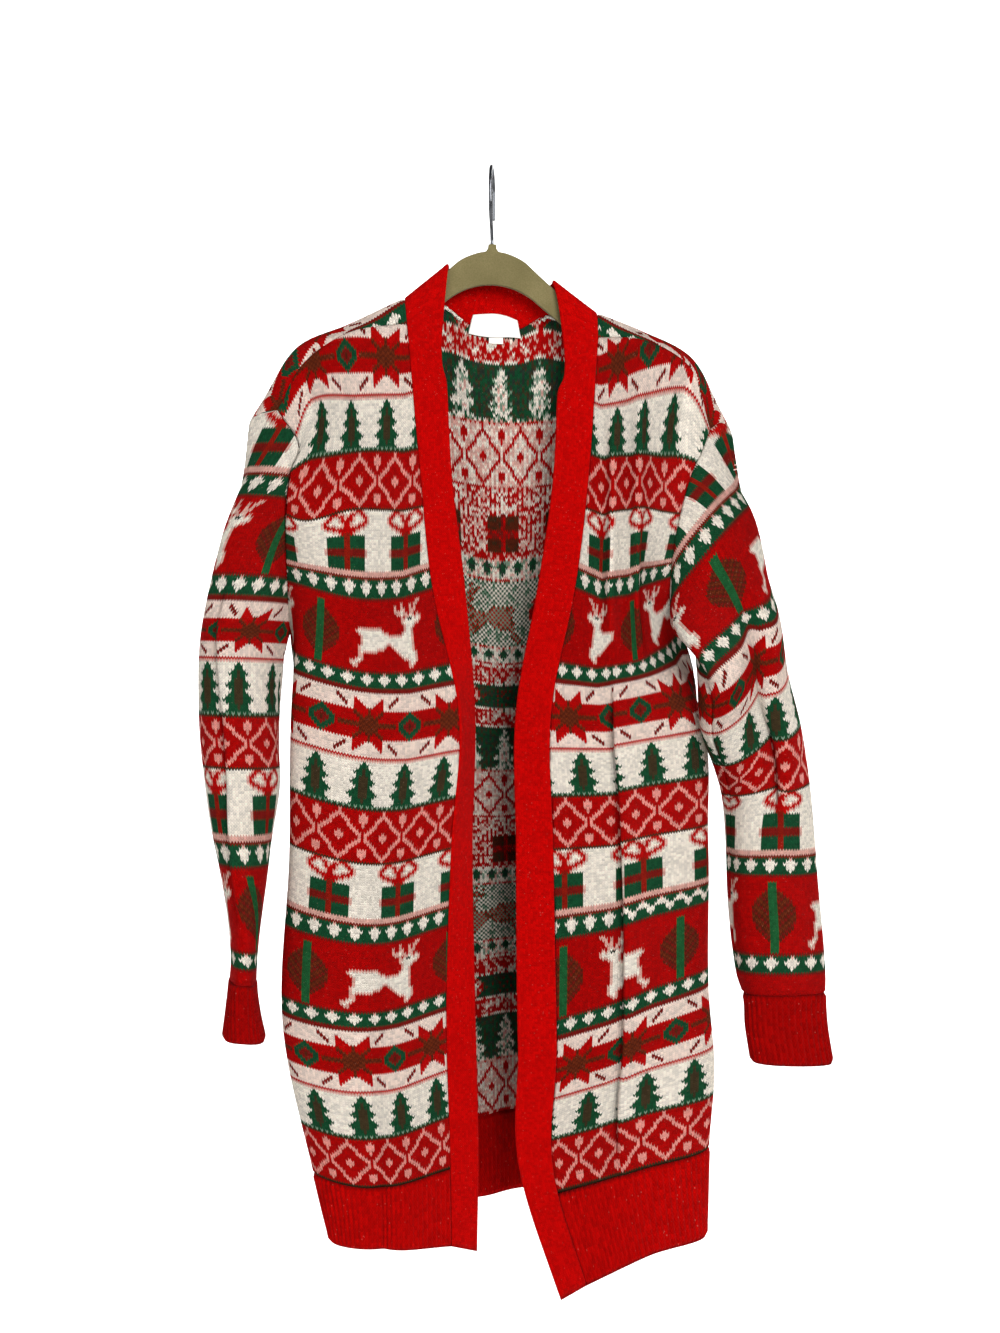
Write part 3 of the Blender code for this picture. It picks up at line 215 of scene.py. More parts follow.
RIGHT_SIDE = [
    Row(0.00, 166, -9, 168.6),
    Row(0.08, 154, -15, 241),
    Row(0.16, 146, -20, 296),
    Row(0.25, 139, -23, 350),
    Row(0.33, 145, -26, 400),
    Row(0.42, 173, -17, 459.4),
    Row(0.60, 181.5, -10, 571.6),
    Row(0.80, 182, -11, 701),
    Row(0.90, 186.5, -12, 762),
    Row(1.00, 182, -12, 827),
    Row(1.09, 180, -12, 902),
]
RIGHT_SEAM = [
    Row(0.00, 184, -12, 223),
    Row(0.05, 178, -13, 240),
    Row(0.10, 168, -13, 262),
    Row(0.16, 157, -15, 302),
    Row(0.25, 151, -19, 350),
    Row(0.29, 151, -25, 374),
    Row(0.33, 159, -31, 398),
    Row(0.37, 169, -15, 426),
    Row(0.42, 174, 6, 459),
    Row(0.60, 173, 18, 571),
    Row(0.80, 174, 19, 700),
    Row(1.00, 172, 16, 822),
    Row(1.09, 171, 14, 900),
]

# -------------------------------------------------------------------- wale lines of the back
BACK_LEFT_SEAM = [
    Row(0.00, -181, -12, 207),
    Row(0.03, -196, -7, 209),
    Row(0.06, -206, 0, 217),
    Row(0.10, -200, 9, 240),
    Row(0.16, -187, 13, 282),
    Row(0.25, -177, 11, 345),
    Row(0.33, -171, 0, 394),
    Row(0.42, -164, 13, 459),
    Row(0.60, -160, 19, 582),
    Row(0.80, -167, 20, 722),
    Row(1.00, -141, 17, 850),
    Row(1.09, -126.5, 15, 904),
]
BACK_LEFT_SHOULDER = [
    Row(0.000, -160, -9, 167.6),
    Row(0.015, -162, -4.8, 155.4),
    Row(0.030, -163, 0, 151.2),
    Row(0.045, -164, 4.8, 155.6),
    Row(0.075, -166, 9, 178),
    Row(0.16, -160, 17, 243),
    Row(0.33, -146, 29, 380),
    Row(0.60, -140, 37, 570),
    Row(0.80, -143, 37, 708),
    Row(1.00, -126, 34, 843),
    Row(1.09, -116, 33, 903),
]
BACK_LEFT_MIDDLE = [
    Row(0.000, -121, -8, 140.7),
    Row(0.015, -122, -4.8, 137.4),
    Row(0.030, -122, 0, 133.6),
    Row(0.045, -122, 4.8, 137.8),
    Row(0.070, -121, 9, 160),
    Row(0.14, -116, 14, 226),
    Row(0.33, -104, 27, 372),
    Row(0.60, -98, 36, 561),
    Row(0.80, -98, 38, 699),
    Row(1.00, -92, 35, 838),
    Row(1.09, -90, 35, 902),
]
BACK_LEFT_NECK = [
    Row(0.000, -72, -8, 133),
    Row(0.018, -73.5, -4.8, 115.2),
    Row(0.030, -74, 0, 111.4),
    Row(0.044, -74, 5, 115.6),
    Row(0.080, -72, 11, 141),
    Row(0.16, -68, 16, 208),
    Row(0.40, -58, 27, 402),
    Row(0.61, -54, 33, 552),
    Row(0.80, -52, 35, 685),
    Row(1.00, -48, 33, 825),
    Row(1.09, -47, 33, 893),
]
BACK_CENTRE = [
    Row(0.055, 3, 20, 134.5),
    Row(0.12, 4, 22, 190),
    Row(0.24, 5, 25, 299),
    Row(0.37, 6, 29, 399),
    Row(0.58, 7, 34, 539),
    Row(0.79, 8, 36, 668.5),
    Row(1.00, 9, 34, 809),
    Row(1.09, 11, 34, 879),
]
BACK_RIGHT_NECK = [
    Row(0.000, 90, -8, 144.7),
    Row(0.018, 89.5, -4.8, 128),
    Row(0.030, 89, 0, 124.2),
    Row(0.044, 89, 5, 128.4),
    Row(0.080, 87, 11, 153),
    Row(0.16, 83, 16, 216),
    Row(0.40, 73, 27, 405),
    Row(0.61, 69, 33, 552),
    Row(0.80, 67, 35, 683),
    Row(1.00, 65, 33, 820),
    Row(1.09, 66, 33, 886),
]
BACK_RIGHT_MIDDLE = [
    Row(0.000, 126, -8, 146.5),
    Row(0.015, 126, -4.8, 142.6),
    Row(0.030, 126, 0, 138.8),
    Row(0.045, 126, 4.8, 143),
    Row(0.070, 125, 9, 165),
    Row(0.14, 122, 14, 230),
    Row(0.33, 113, 26, 374),
    Row(0.60, 110, 35, 557),
    Row(0.80, 111, 37, 690),
    Row(1.00, 110, 34, 822),
    Row(1.09, 109, 33, 892),
]
BACK_RIGHT_SHOULDER = [
    Row(0.000, 166, -9, 168.6),
    Row(0.013, 167, -4.8, 164),
    Row(0.030, 168, 0, 160.8),
    Row(0.045, 169, 4.8, 165.2),
    Row(0.075, 168, 9, 184),
    Row(0.16, 163, 16, 247),
    Row(0.33, 150, 28, 382),
    Row(0.60, 152, 36, 564),
    Row(0.80, 153, 37, 694),
    Row(1.00, 152, 33, 822),
    Row(1.09, 150, 31, 897),
]
BACK_RIGHT_SEAM = [
    Row(0.00, 184, -12, 223),
    Row(0.03, 194, -8, 217),
    Row(0.06, 203, 0, 224),
    Row(0.10, 199, 8, 246),
    Row(0.16, 184, 12, 290),
    Row(0.25, 171, 4, 346),
    Row(0.29, 166, -12, 372),
    Row(0.33, 159, -31, 398),
    Row(0.37, 169, -15, 426),
    Row(0.42, 174, 6, 459),
    Row(0.60, 173, 18, 571),
    Row(0.80, 174, 19, 700),
    Row(1.00, 172, 16, 822),
    Row(1.09, 171, 14, 900),
]

# ------------------------------------- neck seam of the back, between its two shoulders
NECK_SEAM = [
    Edge(160, -60, 9.5, 116),
    Edge(181, -38, 14, 116.5),
    Edge(203, -20, 18, 128.8),
    Edge(227, 3, 20, 134.5),
    Edge(248, 24, 18, 133),
    Edge(269, 42, 14.5, 124),
    Edge(294, 66, 10, 127),
]

# ------------------------------------------------ cut of the panels: distance across in mm
# On a front, across runs from the straight centre edge (0) to the side seam. On the back it runs
# from the left side seam.
MIDDLE_LINE = [
    Wale(0.0, 95),
    Wale(0.16, 94),
    Wale(0.30, 92),
    Wale(0.42, 85),
    Wale(0.60, 76),
    Wale(0.80, 72),
    Wale(1.0, 78),
]
V_NECK = [Wale(0.0, 45), Wale(0.15, 29), Wale(0.30, 12), Wale(0.42, 0), Wale(1.0, 0)]
FRONT_ARMHOLE = [
    Wale(0.0, 181),
    Wale(0.06, 166),
    Wale(0.14, 157),
    Wale(0.22, 158),
    Wale(0.29, 172),
    Wale(0.33, 190),
    Wale(1.0, 190),
]
BACK_ARMHOLE = [
    Wale(0.0, 9),
    Wale(0.08, 18),
    Wale(0.18, 20),
    Wale(0.28, 9),
    Wale(0.33, 0),
    Wale(1.0, 0),
]

# ------------------------------------------------------------ folds, in mm across the panels
LEFT_FOLDS = [Fold(72, 0.74, 1.20, 20, 3, -7)]
RIGHT_FOLDS = [Fold(62, 0.34, 1.04, 9, 8, 5.5)]
RIGHT_PLEATS = [
    Fold(64, 0.06, 0.36, 10, 1.6, 8),
    Fold(98, 0.02, 0.38, 11, 2.0, 10),
]
BACK_RIPPLES = [
    Fold(48, 0.22, 1.30, 22, 0, 11),
    Fold(92, 0.18, 1.30, 24, 0, -9),
    Fold(150, 0.26, 1.30, 26, 0, 12),
    Fold(206, 0.30, 1.30, 22, 0, -7),
    Fold(262, 0.24, 1.30, 26, 0, 12),
    Fold(318, 0.22, 1.30, 22, 0, -9),
    Fold(366, 0.20, 1.30, 24, 0, 11),
    Fold(412, 0.26, 1.30, 22, 0, -7),
]

# ------------------------------------------------------------------ sleeves, ring by ring
# The first three sizes place the outer end of a ring and the next three its inner end.
LEFT_RINGS = [
    Ring(0, -206, 0, 217, -160, 0, 330, 13),
    Ring(21, -214, 0, 263, -169, -2, 380, 24),
    Ring(40, -224, 0, 306, -176, -4, 406, 33),
    Ring(57, -233, -2, 346, -180, -7, 426, 40),
    Ring(65, -237, -2, 367, -181.2, -8, 436, 43),
    Ring(93, -245.5, -4, 417, -182.3, -4, 464, 47),
    Ring(114, -246.8, -5, 465, -182.6, 2, 492, 49),
    Ring(136, -243.5, -6, 508, -182, 2.3, 526, 50),
    Ring(160, -235, -6, 567, -189, 0, 574, 51),
    Ring(169, -230, -6, 590, -191.5, -1, 596, 51),
    Ring(196, -220.5, -6, 657, -199.5, -3, 660, 49),
    Ring(204, -220, -6, 674, -200.6, -3.3, 677, 46),
    Ring(210, -221, -6, 686.5, -201, -3.2, 689, 41),
    Ring(228, -224, -6, 714, -198.5, -2.4, 716, 36),
    Ring(243, -227, -6, 737, -193.5, -1.2, 740, 30),
]
RIGHT_RINGS = [
    Ring(0, 202, -1, 228, 156, -6, 330, 13),
    Ring(19, 213, 0, 271, 158, -16, 360, 17),
    Ring(30, 219, 0, 292, 161, -31, 391, 19),
    Ring(45, 221.5, -1, 324, 171, -46, 406, 21),
    Ring(57, 224, -2, 351, 177, -54, 422, 23),
    Ring(65, 228, -3, 370, 180, -56, 436, 26),
    Ring(93, 240, -7, 432, 182, -50, 482, 29),
    Ring(114, 251, -9, 475, 192, -42, 508, 32),
    Ring(136, 261, -11, 526, 198, -34, 534, 33),
    Ring(160, 268, -13, 583, 200, -28, 583.5, 33),
    Ring(169, 270, -13, 601, 200, -26, 601, 32),
    Ring(196, 276.5, -13, 665, 205, -24, 665, 29),
    Ring(204, 278, -13, 684, 208, -23, 684, 26),
    Ring(210, 278.5, -13, 696.5, 212, -22, 696.5, 20),
    Ring(228, 280.5, -13, 727, 214.5, -22, 725.5, 16.5),
    Ring(243, 285.5, -13, 757, 219, -22, 754.5, 15.5),
]
LEFT_PUFF = Puff(0.15, 0.08, 32, 0, -4, 0)
RIGHT_PUFF = Puff(0.12, 0.09, 46, -24, -12, 4)
LEFT_SLEEVE_FOLD = Fold(0.285, 0.16, 0.93, 0.034, 7, -4.5)
RIGHT_SLEEVE_FOLD = Fold(0.235, 0.14, 0.70, 0.042, 12, 8)
RING_SQUARENESS = 0.78

# --------------------------------------------------------------- inner edge of the front band
BAND_LEFT_INNER = [
    Row(-0.030, -36.8, 0, 82),
    Row(-0.018, -37.0, -4.8, 84.6),
    Row(-0.009, -38.5, -7.2, 100),
    Row(0.00, -40.5, -9, 122),
    Row(0.08, -37.5, -14, 190),
    Row(0.16, -34, -18, 256),
    Row(0.30, -22, -22, 361),
    Row(0.42, -15, -12, 452),
    Row(0.60, -16.5, -17, 573),
    Row(0.80, -13.8, -24, 710),
    Row(1.00, -11.2, -24, 843),
    Row(1.09, -12.4, -20, 914),
]
BAND_RIGHT_INNER = [
    Row(-0.030, 51.5, 0, 96),
    Row(-0.018, 51.9, -4.8, 98.4),
    Row(-0.009, 55.5, -7.2, 113.5),
    Row(0.00, 58.5, -9, 135),
    Row(0.08, 54.8, -13, 197),
    Row(0.16, 52, -16, 256),
    Row(0.30, 38, -19, 358),
    Row(0.42, 21, -22, 451),
    Row(0.60, 20, -27, 574),
    Row(0.80, 21.5, -40, 735),
    Row(1.00, 27.5, -56, 856),
    Row(1.09, 56, -76, 935),
]
NECK_INNER = [
    Row(0.00, -36.8, 0, 82),
    Row(0.08, -36, 6, 84.5),
    Row(0.30, -20, 14, 90),
    Row(0.50, 5, 16.5, 94),
    Row(0.70, 32, 14, 96),
    Row(0.92, 50, 6, 97.4),
    Row(1.00, 51.5, 0, 96),
]

FRONT_FALLS = np.linspace(0, HEM_FALL, 176)
BACK_FALLS = np.r_[np.linspace(0, 0.06, 31), np.linspace(0.065, HEM_FALL, 160)]
SLEEVE_FALLS = np.linspace(0, CUFF_FALL, 150)

# ------------------------------------- hanger, right half: out and drop before it is tilted
HANGER_TOP = [
    (0, 72),
    (9, 72.6),
    (17, 75),
    (26, 79.4),
    (36, 88),
    (44, 95.2),
    (52, 102),
    (64, 112.4),
    (76, 121),
    (88, 126.4),
    (100, 130.8),
    (112, 136.4),
    (124, 142.1),
    (136, 147),
    (148, 152.4),
    (158, 159.4),
    (165, 166.6),
    (169, 174),
]
HANGER_UNDER = [
    (0, 98),
    (10, 98.8),
    (20, 101.5),
    (32, 107.5),
    (46, 118.5),
    (62, 131),
    (80, 141),
    (100, 149),
    (124, 157),
    (148, 168),
    (158, 175),
    (164, 180),
]
# The hook's wire below its bend: depth and drop.
STEM = [(-19.5, 26), (-18.8, 33), (-15.6, 41), (-9.6, 48), (-3.6, 53.5), (-0.8, 58)]
STEM += [(0, 61.5), (0, 64.6)]

# --------------------- neck label and size tab: clear of the cloth, then (out, drop) across
LABEL = [
    Sewn(0.3, [(-16.4, 121), (-7, 120.2), (2.9, 120), (12.4, 122), (21.8, 126)]),
    Sewn(0.5, [(-17.8, 125.4), (-7.6, 125.2), (2.9, 125.2), (13, 126.6), (22.6, 130)]),
    Sewn(0.9, [(-19.0, 130), (-8, 130.4), (2.9, 130.4), (13.4, 131.2), (23.4, 134)]),
    Sewn(1.3, [(-20.0, 134.2), (-8.6, 135.4), (2.9, 135.6), (13.8, 135.8), (24.2, 138)]),
    Sewn(1.3, [(-20.6, 137.5), (-9, 139.6), (2.9, 140.6), (14, 140.4), (25, 141.6)]),
]
SIZE_TAB = [
    Sewn(0.3, [(-2.6, 136), (3.4, 136.2), (9.4, 136.2)]),
    Sewn(0.3, [(-2.7, 141), (3.4, 141.2), (9.5, 141.2)]),
    Sewn(0.3, [(-2.8, 145.4), (3.4, 145.8), (9.6, 146)]),
]


# ------------------------------------------------------------------------------ curve tools
def hermite(knots, values, at):
    """Smooth curve through values at knots: cubic pieces with three-point slopes at the knots."""
    knots = np.asarray(knots, float)
    values = np.asarray(values, float)
    at = np.asarray(at, float)
    if values.ndim == 1:
        return hermite(knots, values[:, None], at)[..., 0]
    step = np.diff(knots)[:, None]
    chord = np.diff(values, axis=0) / step
    slope = np.empty_like(values)
    slope[0] = chord[0]
    slope[-1] = chord[-1]
    slope[1:-1] = (chord[:-1] * step[1:] + chord[1:] * step[:-1]) / (step[1:] + step[:-1])
    piece = np.clip(np.searchsorted(knots, at, side="right") - 1, 0, len(knots) - 2)
    width = step[piece]
    part = ((at - knots[piece]) / step[piece, 0])[..., None]
    start = values[piece]
    end = values[piece + 1]
    return (
        start * (1 + 2 * part) * (1 - part) ** 2
        + slope[piece] * width * part * (1 - part) ** 2
        + end * part**2 * (3 - 2 * part)
        + slope[piece + 1] * width * part**2 * (part - 1)
    )


def place(out, depth, drop):
    """Millimetres out, deep and down as a point in metres."""
    return np.stack([np.asarray(out), np.asarray(depth), -np.asarray(drop)], axis=-1) * MM


def line_at(rows, falls):
    """Points of a named line at the given falls."""
    points = place([r.out for r in rows], [r.depth for r in rows], [r.drop for r in rows])
    return hermite([r.fall for r in rows], points, falls)


def across_at(wales, falls):
    """Distance across, in metres, of a cut edge at the given falls."""
    return hermite([w.fall for w in wales], [w.across * MM for w in wales], falls)


def unit(vectors):
    """Vectors at length 1."""
    return vectors / np.maximum(np.linalg.norm(vectors, axis=-1, keepdims=True), 1e-12)


def eased(value):
    """0 below 0 and 1 above 1, with a smooth rise between."""
    value = np.clip(value, 0.0, 1.0)
    return value * value * (3.0 - 2.0 * value)


def fold_window(fold, falls):
    """How far a fold has opened at each fall: it fades in and out over a fifth of its length."""
    reach = 0.2 * (fold.end - fold.start)
    return eased((falls - fold.start) / reach) * eased((fold.end - falls) / reach)


def lap(local):
    """One lobe down and one up, of height 1 at -1 and +1: both layers of a lapped fold."""
    return local * np.exp((1.0 - local**2) / 2.0)


def ridge(local):
    """A single soft ridge of height 1."""
    return np.exp(-(local**2))


def lengths(curve):
    """Length along a line of points, from 0 at its first."""
    return np.r_[0, np.cumsum(np.linalg.norm(np.diff(curve, axis=0), axis=1))]


def resampled(curve, given, wanted):
    """A line of points known at rising given positions, read at the wanted ones."""
    return np.stack([np.interp(wanted, given, curve[:, axis]) for axis in range(3)], axis=-1)


# ------------------------------------------------------------------------------------ cloth
class Cloth:
    """A piece of knit as a fine grid of points, rows down the piece and columns across it."""

    def __init__(self, falls, points, first, last, outward):
        self.falls = falls
        self.points = points
        self.first = first
        self.last = last
        down = np.gradient(points, axis=0)
        across = np.gradient(points, axis=1)
        self.normals = unit(np.cross(across, down)) * outward

    def pick(self, grid, parts, falls):
        """Value of a grid at fractions across and falls, between its four nearest points."""
        rows = np.interp(falls, self.falls, np.arange(len(self.falls)))
        columns = np.clip(parts, 0, 1) * (grid.shape[1] - 1)
        row = np.clip(rows.astype(int), 0, grid.shape[0] - 2)
        column = np.clip(columns.astype(int), 0, grid.shape[1] - 2)
        v = (rows - row)[..., None]
        u = (columns - column)[..., None]
        top = grid[row, column] * (1 - u) + grid[row, column + 1] * u
        bottom = grid[row + 1, column] * (1 - u) + grid[row + 1, column + 1] * u
        return top * (1 - v) + bottom * v

    def at(self, parts, falls):
        """Points and unit normals at fractions across and falls."""
        parts, falls = np.broadcast_arrays(parts, falls)
        return self.pick(self.points, parts, falls), unit(self.pick(self.normals, parts, falls))

    def part_of(self, across, falls):
        """Fraction across of a distance across, in metres, at the given falls."""
        first = np.interp(falls, self.falls, self.first)
        last = np.interp(falls, self.falls, self.last)
        return (across - first) / (last - first)


def panel(lines, stations, falls, laps, ridges, outward):
    """A panel through its wale lines.

    For each fall a curve runs through the lines, the folds push it aside, and its points are
    spaced by length again between one line and the next.
    """
    grid = np.empty((len(falls), FINE_COLUMNS + 1, 3))
    for index, fall in enumerate(falls):
        points = np.array([line[index] for line in lines])
        across = np.array([station[index] for station in stations])
        chord = lengths(points)
        sample = np.linspace(across[0], across[-1], FINE_COLUMNS * 3 + 1)
        curve = hermite(chord, points, np.interp(sample, across, chord))
        tangent = unit(np.gradient(curve, axis=0))
        level = unit(np.stack([-tangent[:, 1], tangent[:, 0], 0 * tangent[:, 2]], axis=1)) * outward
        shift = np.zeros_like(curve)
        for fold in laps:
            local = (sample - fold.across * MM) / (fold.half * MM)
            lobe = (lap(local) * fold_window(fold, fall))[:, None]
            shift += lobe * (level * fold.rise - tangent * fold.overlap) * MM
        for fold in ridges:
            local = (sample - fold.across * MM) / (fold.half * MM)
            window = fold_window(fold, fall)
            shift += (ridge(local) * window)[:, None] * level * fold.rise * MM
            shift -= (lap(local) * window)[:, None] * tangent * fold.overlap * MM
        ends = eased((sample - across[0]) / FOLD_FADE) * eased((across[-1] - sample) / FOLD_FADE)
        curve = curve + shift * ends[:, None]
        length = lengths(curve)
        spaced = np.interp(length, np.interp(across, sample, length), across)
        even = np.linspace(across[0], across[-1], FINE_COLUMNS + 1)
        grid[index] = resampled(curve, spaced, even)
    return Cloth(falls, grid, stations[0], stations[-1], outward)


def ring_points(rings, courses, turns):
    """Points of the sleeve rings: a squarish loop between an inner and an outer end.

    turns is 0 at the inner end, a quarter at the front and a half at the outer end.
    """
    knots = [r.course for r in rings]
    table = np.array(rings).T
    outer = hermite(knots, place(*table[1:4]), courses)
    inner = hermite(knots, place(*table[4:7]), courses)
    half = hermite(knots, [r.half * MM for r in rings], courses)[:, None]
    angle = 2 * pi * turns
    along = (np.sign(np.cos(angle)) * np.abs(np.cos(angle)) ** RING_SQUARENESS)[:, None]
    aside = (np.sign(np.sin(angle)) * np.abs(np.sin(angle)) ** RING_SQUARENESS)[:, None]
    flat = (inner - outer) / 2 * [1, 1, 0]
    front = unit(np.stack([flat[:, 1], -flat[:, 0], 0 * flat[:, 2]], axis=1))
    front *= -np.sign(front[:, 1:2])
    points = (inner + outer) / 2 + along * flat + aside * half * front
    bunch = ((1 + along[:, 0]) / 2) ** 1.8
    points[:, 2] = outer[:, 2] + (inner[:, 2] - outer[:, 2]) * bunch
    return points


def sleeve(rings, fold, puff, loop, loop_courses, falls, side):
    """A sleeve: rings that start on the armhole loop and let go of it as they leave it.

    Falls run from 0 at the armhole to 1 at the cuff, and past 1 down the cuff.
    """
    turns = np.linspace(0, 1, FINE_COLUMNS + 1)
    grid = np.empty((len(falls), len(turns), 3))
    start = ring_points(rings, loop_courses, turns)
    for index, fall in enumerate(falls):
        courses = loop_courses + min(fall, 1) * (SLEEVE_COURSES - loop_courses)
        courses = courses + max(fall - 1, 0) * SLEEVE_COURSES
        sample = ring_points(rings, courses, turns)
        apart = np.clip((courses - loop_courses) / LET_GO, 0, 1)[:, None]
        free = apart * (2 - apart)
        curve = sample + (loop - start) * (1 - free)
        spare = np.sin(pi * np.clip((courses - loop_courses) / puff.courses, 0, 1))
        spare = spare * ridge((turns - puff.turn) / puff.half)
        curve = curve + spare[:, None] * place(puff.out, puff.depth, puff.drop)
        tangent = unit(np.gradient(curve, axis=0))
        level = unit(np.stack([-tangent[:, 1], tangent[:, 0], 0 * tangent[:, 2]], axis=1)) * side
        local = (turns - fold.across) / fold.half
        lobe = (lap(local) * fold_window(fold, fall))[:, None]
        curve = curve + lobe * (level * fold.rise - tangent * fold.overlap) * MM
        length = lengths(curve)
        blend = 0.75 * eased(fall / 0.25)
        spaced = turns * (1 - blend) + length / length[-1] * blend
        grid[index] = resampled(curve, spaced, turns)
    return Cloth(falls, grid, np.zeros(len(falls)), np.ones(len(falls)), side)


# --------------------------------------------------------------------------- the cut pieces
def front(lines, armhole_lines, laps, ridges, outward):
    """A front panel with its hem, from the band seam to the side seam."""
    falls = FRONT_FALLS
    neck = across_at(V_NECK, falls)
    seam = across_at(FRONT_ARMHOLE, falls)
    middle = np.maximum(across_at(MIDDLE_LINE, falls), neck + MIDDLE_ROOM * MM)
    side = np.minimum(SIDE_LINE * MM, seam - SIDE_ROOM * MM)
    found = [line_at(rows, falls) for rows in lines + armhole_lines]
    return panel(found, [neck, middle, side, seam], falls, laps, ridges, outward)


def neck_line(edge, falls, left, centre, right):
    """A wale line of the back that starts on the neck seam and joins the lines around it."""
    across = np.array([NECK_FROM, BACK_MIDDLE, NECK_TO]) * MM
    around = [line_at(rows, NECK_KNOTS) for rows in (left, centre, right)]
    below = np.array([hermite(across, np.array(at), [edge.across * MM])[0] for at in zip(*around)])
    start = place([edge.out], [edge.depth], [edge.drop])
    return hermite(np.r_[NECK_FALL, NECK_KNOTS], np.r_[start, below], np.maximum(falls, NECK_FALL))


def back():
    """The back panel with its hem. Its neck columns count only from NECK_FALL down."""
    falls = BACK_FALLS
    start = across_at(BACK_ARMHOLE, falls)
    sides = [BACK_LEFT_SEAM, BACK_LEFT_SHOULDER, BACK_LEFT_MIDDLE, BACK_LEFT_NECK]
    others = [BACK_RIGHT_NECK, BACK_RIGHT_MIDDLE, BACK_RIGHT_SHOULDER, BACK_RIGHT_SEAM]
    left = [line_at(rows, falls) for rows in sides]
    right = [line_at(rows, falls) for rows in others]
    middle = []
    for edge in NECK_SEAM:
        line = neck_line(edge, falls, BACK_LEFT_NECK, BACK_CENTRE, BACK_RIGHT_NECK)
        share = (edge.across - NECK_FROM) / (NECK_TO - NECK_FROM)
        over = (left[-1] - line_at(BACK_LEFT_NECK, [NECK_FALL])) * (1 - share)
        over = over + (right[0] - line_at(BACK_RIGHT_NECK, [NECK_FALL])) * share
        middle.append(line + over * (falls < NECK_FALL)[:, None])
    fixed = [60, 100, NECK_FROM] + [e.across for e in NECK_SEAM] + [NECK_TO, 360, 400]
    stations = [start] + [np.full(len(falls), x * MM) for x in fixed] + [BACK_WIDTH - start]
    return panel(left + middle + right, stations, falls, [], BACK_RIPPLES, 1)


def armhole_loop(front_cloth, front_part, back_cloth, back_part):
    """The armhole as points at even turns: up the front edge to the tip, then down the back."""
    rise = np.linspace(UNDERARM, 0, 61)
    up = front_cloth.at(front_part, rise)[0]
    down = back_cloth.at(back_part, rise[::-1])[0]
    turns = np.linspace(0, 1, FINE_COLUMNS + 1)
    up_turn = lengths(up) / lengths(up)[-1] / 2
    down_turn = 0.5 + lengths(down) / lengths(down)[-1] / 2
    both = np.r_[up, down[1:]]
    return resampled(both, np.r_[up_turn, down_turn[1:]], turns)


def cap_courses(turns):
    """Course at which each part of the sleeve starts: none at the tip, the cap's at the underarm."""
    return CAP_COURSES * np.abs(1 - 2 * turns) ** 1.3


# --------------------------------------------------------------------------------- colours
def shade(code):
    """An sRGB hex colour as scene-linear red, green and blue."""
    given = np.array([int(code[k : k + 2], 16) for k in (1, 3, 5)]) / 255
    return np.where(given <= 0.04045, given / 12.92, ((given + 0.055) / 1.055) ** 2.4)


# One letter for each colour that a stitch can show. The yarns are red, cream, green and a little
# brown; the mixed tones are where two yarns show in one stitch, as in a brushed jacquard.
YARNS = {
    "R": "#AC0302",
    "S": "#B80403",
    "W": "#F4EADB",
    "P": "#F2DBCD",
    "H": "#DEA99B",
    "L": "#E8968A",
    "G": "#14492C",
    "B": "#54200F",
    "O": "#3F3320",
    "N": "#7A1610",
    "T": "#8E1A0C",
    "K": "#2A352C",
    "D": "#3A2A18",
    "M": "#7F9A82",
    "E": "#1E5A30",
    "F": "#6E2A12",
}
LETTERS = "".join(YARNS)
PALETTE = np.array([shade(code) for code in YARNS.values()])

# ---------------------------------------------------------------------------------- charts
# Each chart is one repeat of a pattern band, course by course from its top.
DOTS = [
    "NNNNNNN",
    "GGGWGGG",
    "GGWWWGG",
    "GWWWWWG",
    "GGWWWGG",
    "GGWWWGG",
    "GGGWGGG",
    "GGGGGGG",
    "NNNNNNN",
]
TREES = [
    "WWWWWWWWWWWWWWWW",
    "WWWWWWWWGWWWWWWW",
    "WWWWWWWGGGWWWWWW",
    "WWWWWWWGGGWWWWWW",
    "WWWWWWGGOGGWWWWW",
    "WWWWWGGGOGGGWWWW",
    "WWWWWWGGOGGWWWWW",
    "WWWWWWGOOOGWWWWW",
    "WWWWWGGOOOGGWWWW",
    "WWWWGGGOOOGGGWWW",
    "WWWWWGGOOOGGWWWW",
    "WWWWWWGOOOGWWWWW",
    "WWWWWGGOOOGGWWWW",
    "WWWWGGGOOOGGGWWW",
    "WWWGGGGOOOGGGGWW",
    "WWWWGGGOOOGGGWWW",
    "WWWWWGGGOGGGWWWW",
    "WWWWWGGGOGGGWWWW",
    "WWWWGGGGGGGGGWWW",
    "MGMGMGMGMGMGMGMG",
    "DDDDDDDDDDDDDDDD",
]
GIFT_BOW = [
    "WWWWWWWWSSSWWWWWWSSSWWWWWW",
    "WWWWWWWSSWWSSWWSSWWSSWWWWW",
    "WWWWWWSSWWWWSSWSWWWWSSWWWW",
    "WWWWWWSWWWWWSSSSWWWWWSWWWW",
    "WWWWWWSSWWWWWSSWWWWWSSWWWW",
    "WWWWWWWSSSWWWSSWWWSSSWWWWW",
    "WWWWWWWWWSSSSSSSSSSWWWWWWW",
    "WWWWWWWWWWWSSSSSSWWWWWWWWW",
    "WWWWWWWWWWWWSTTSWWWWWWWWWW",
]
GIFT_PAPER = "WWWWWWWGGGGGGTTGGGGGGWWWWW"
GIFT_RIBBON = "WWWWWWWNNNNNNTTNNNNNNWWWWW"
GIFTS = GIFT_BOW + [GIFT_PAPER] * 5 + [GIFT_RIBBON] * 3 + [GIFT_PAPER] * 5 + ["H" * 26] * 2
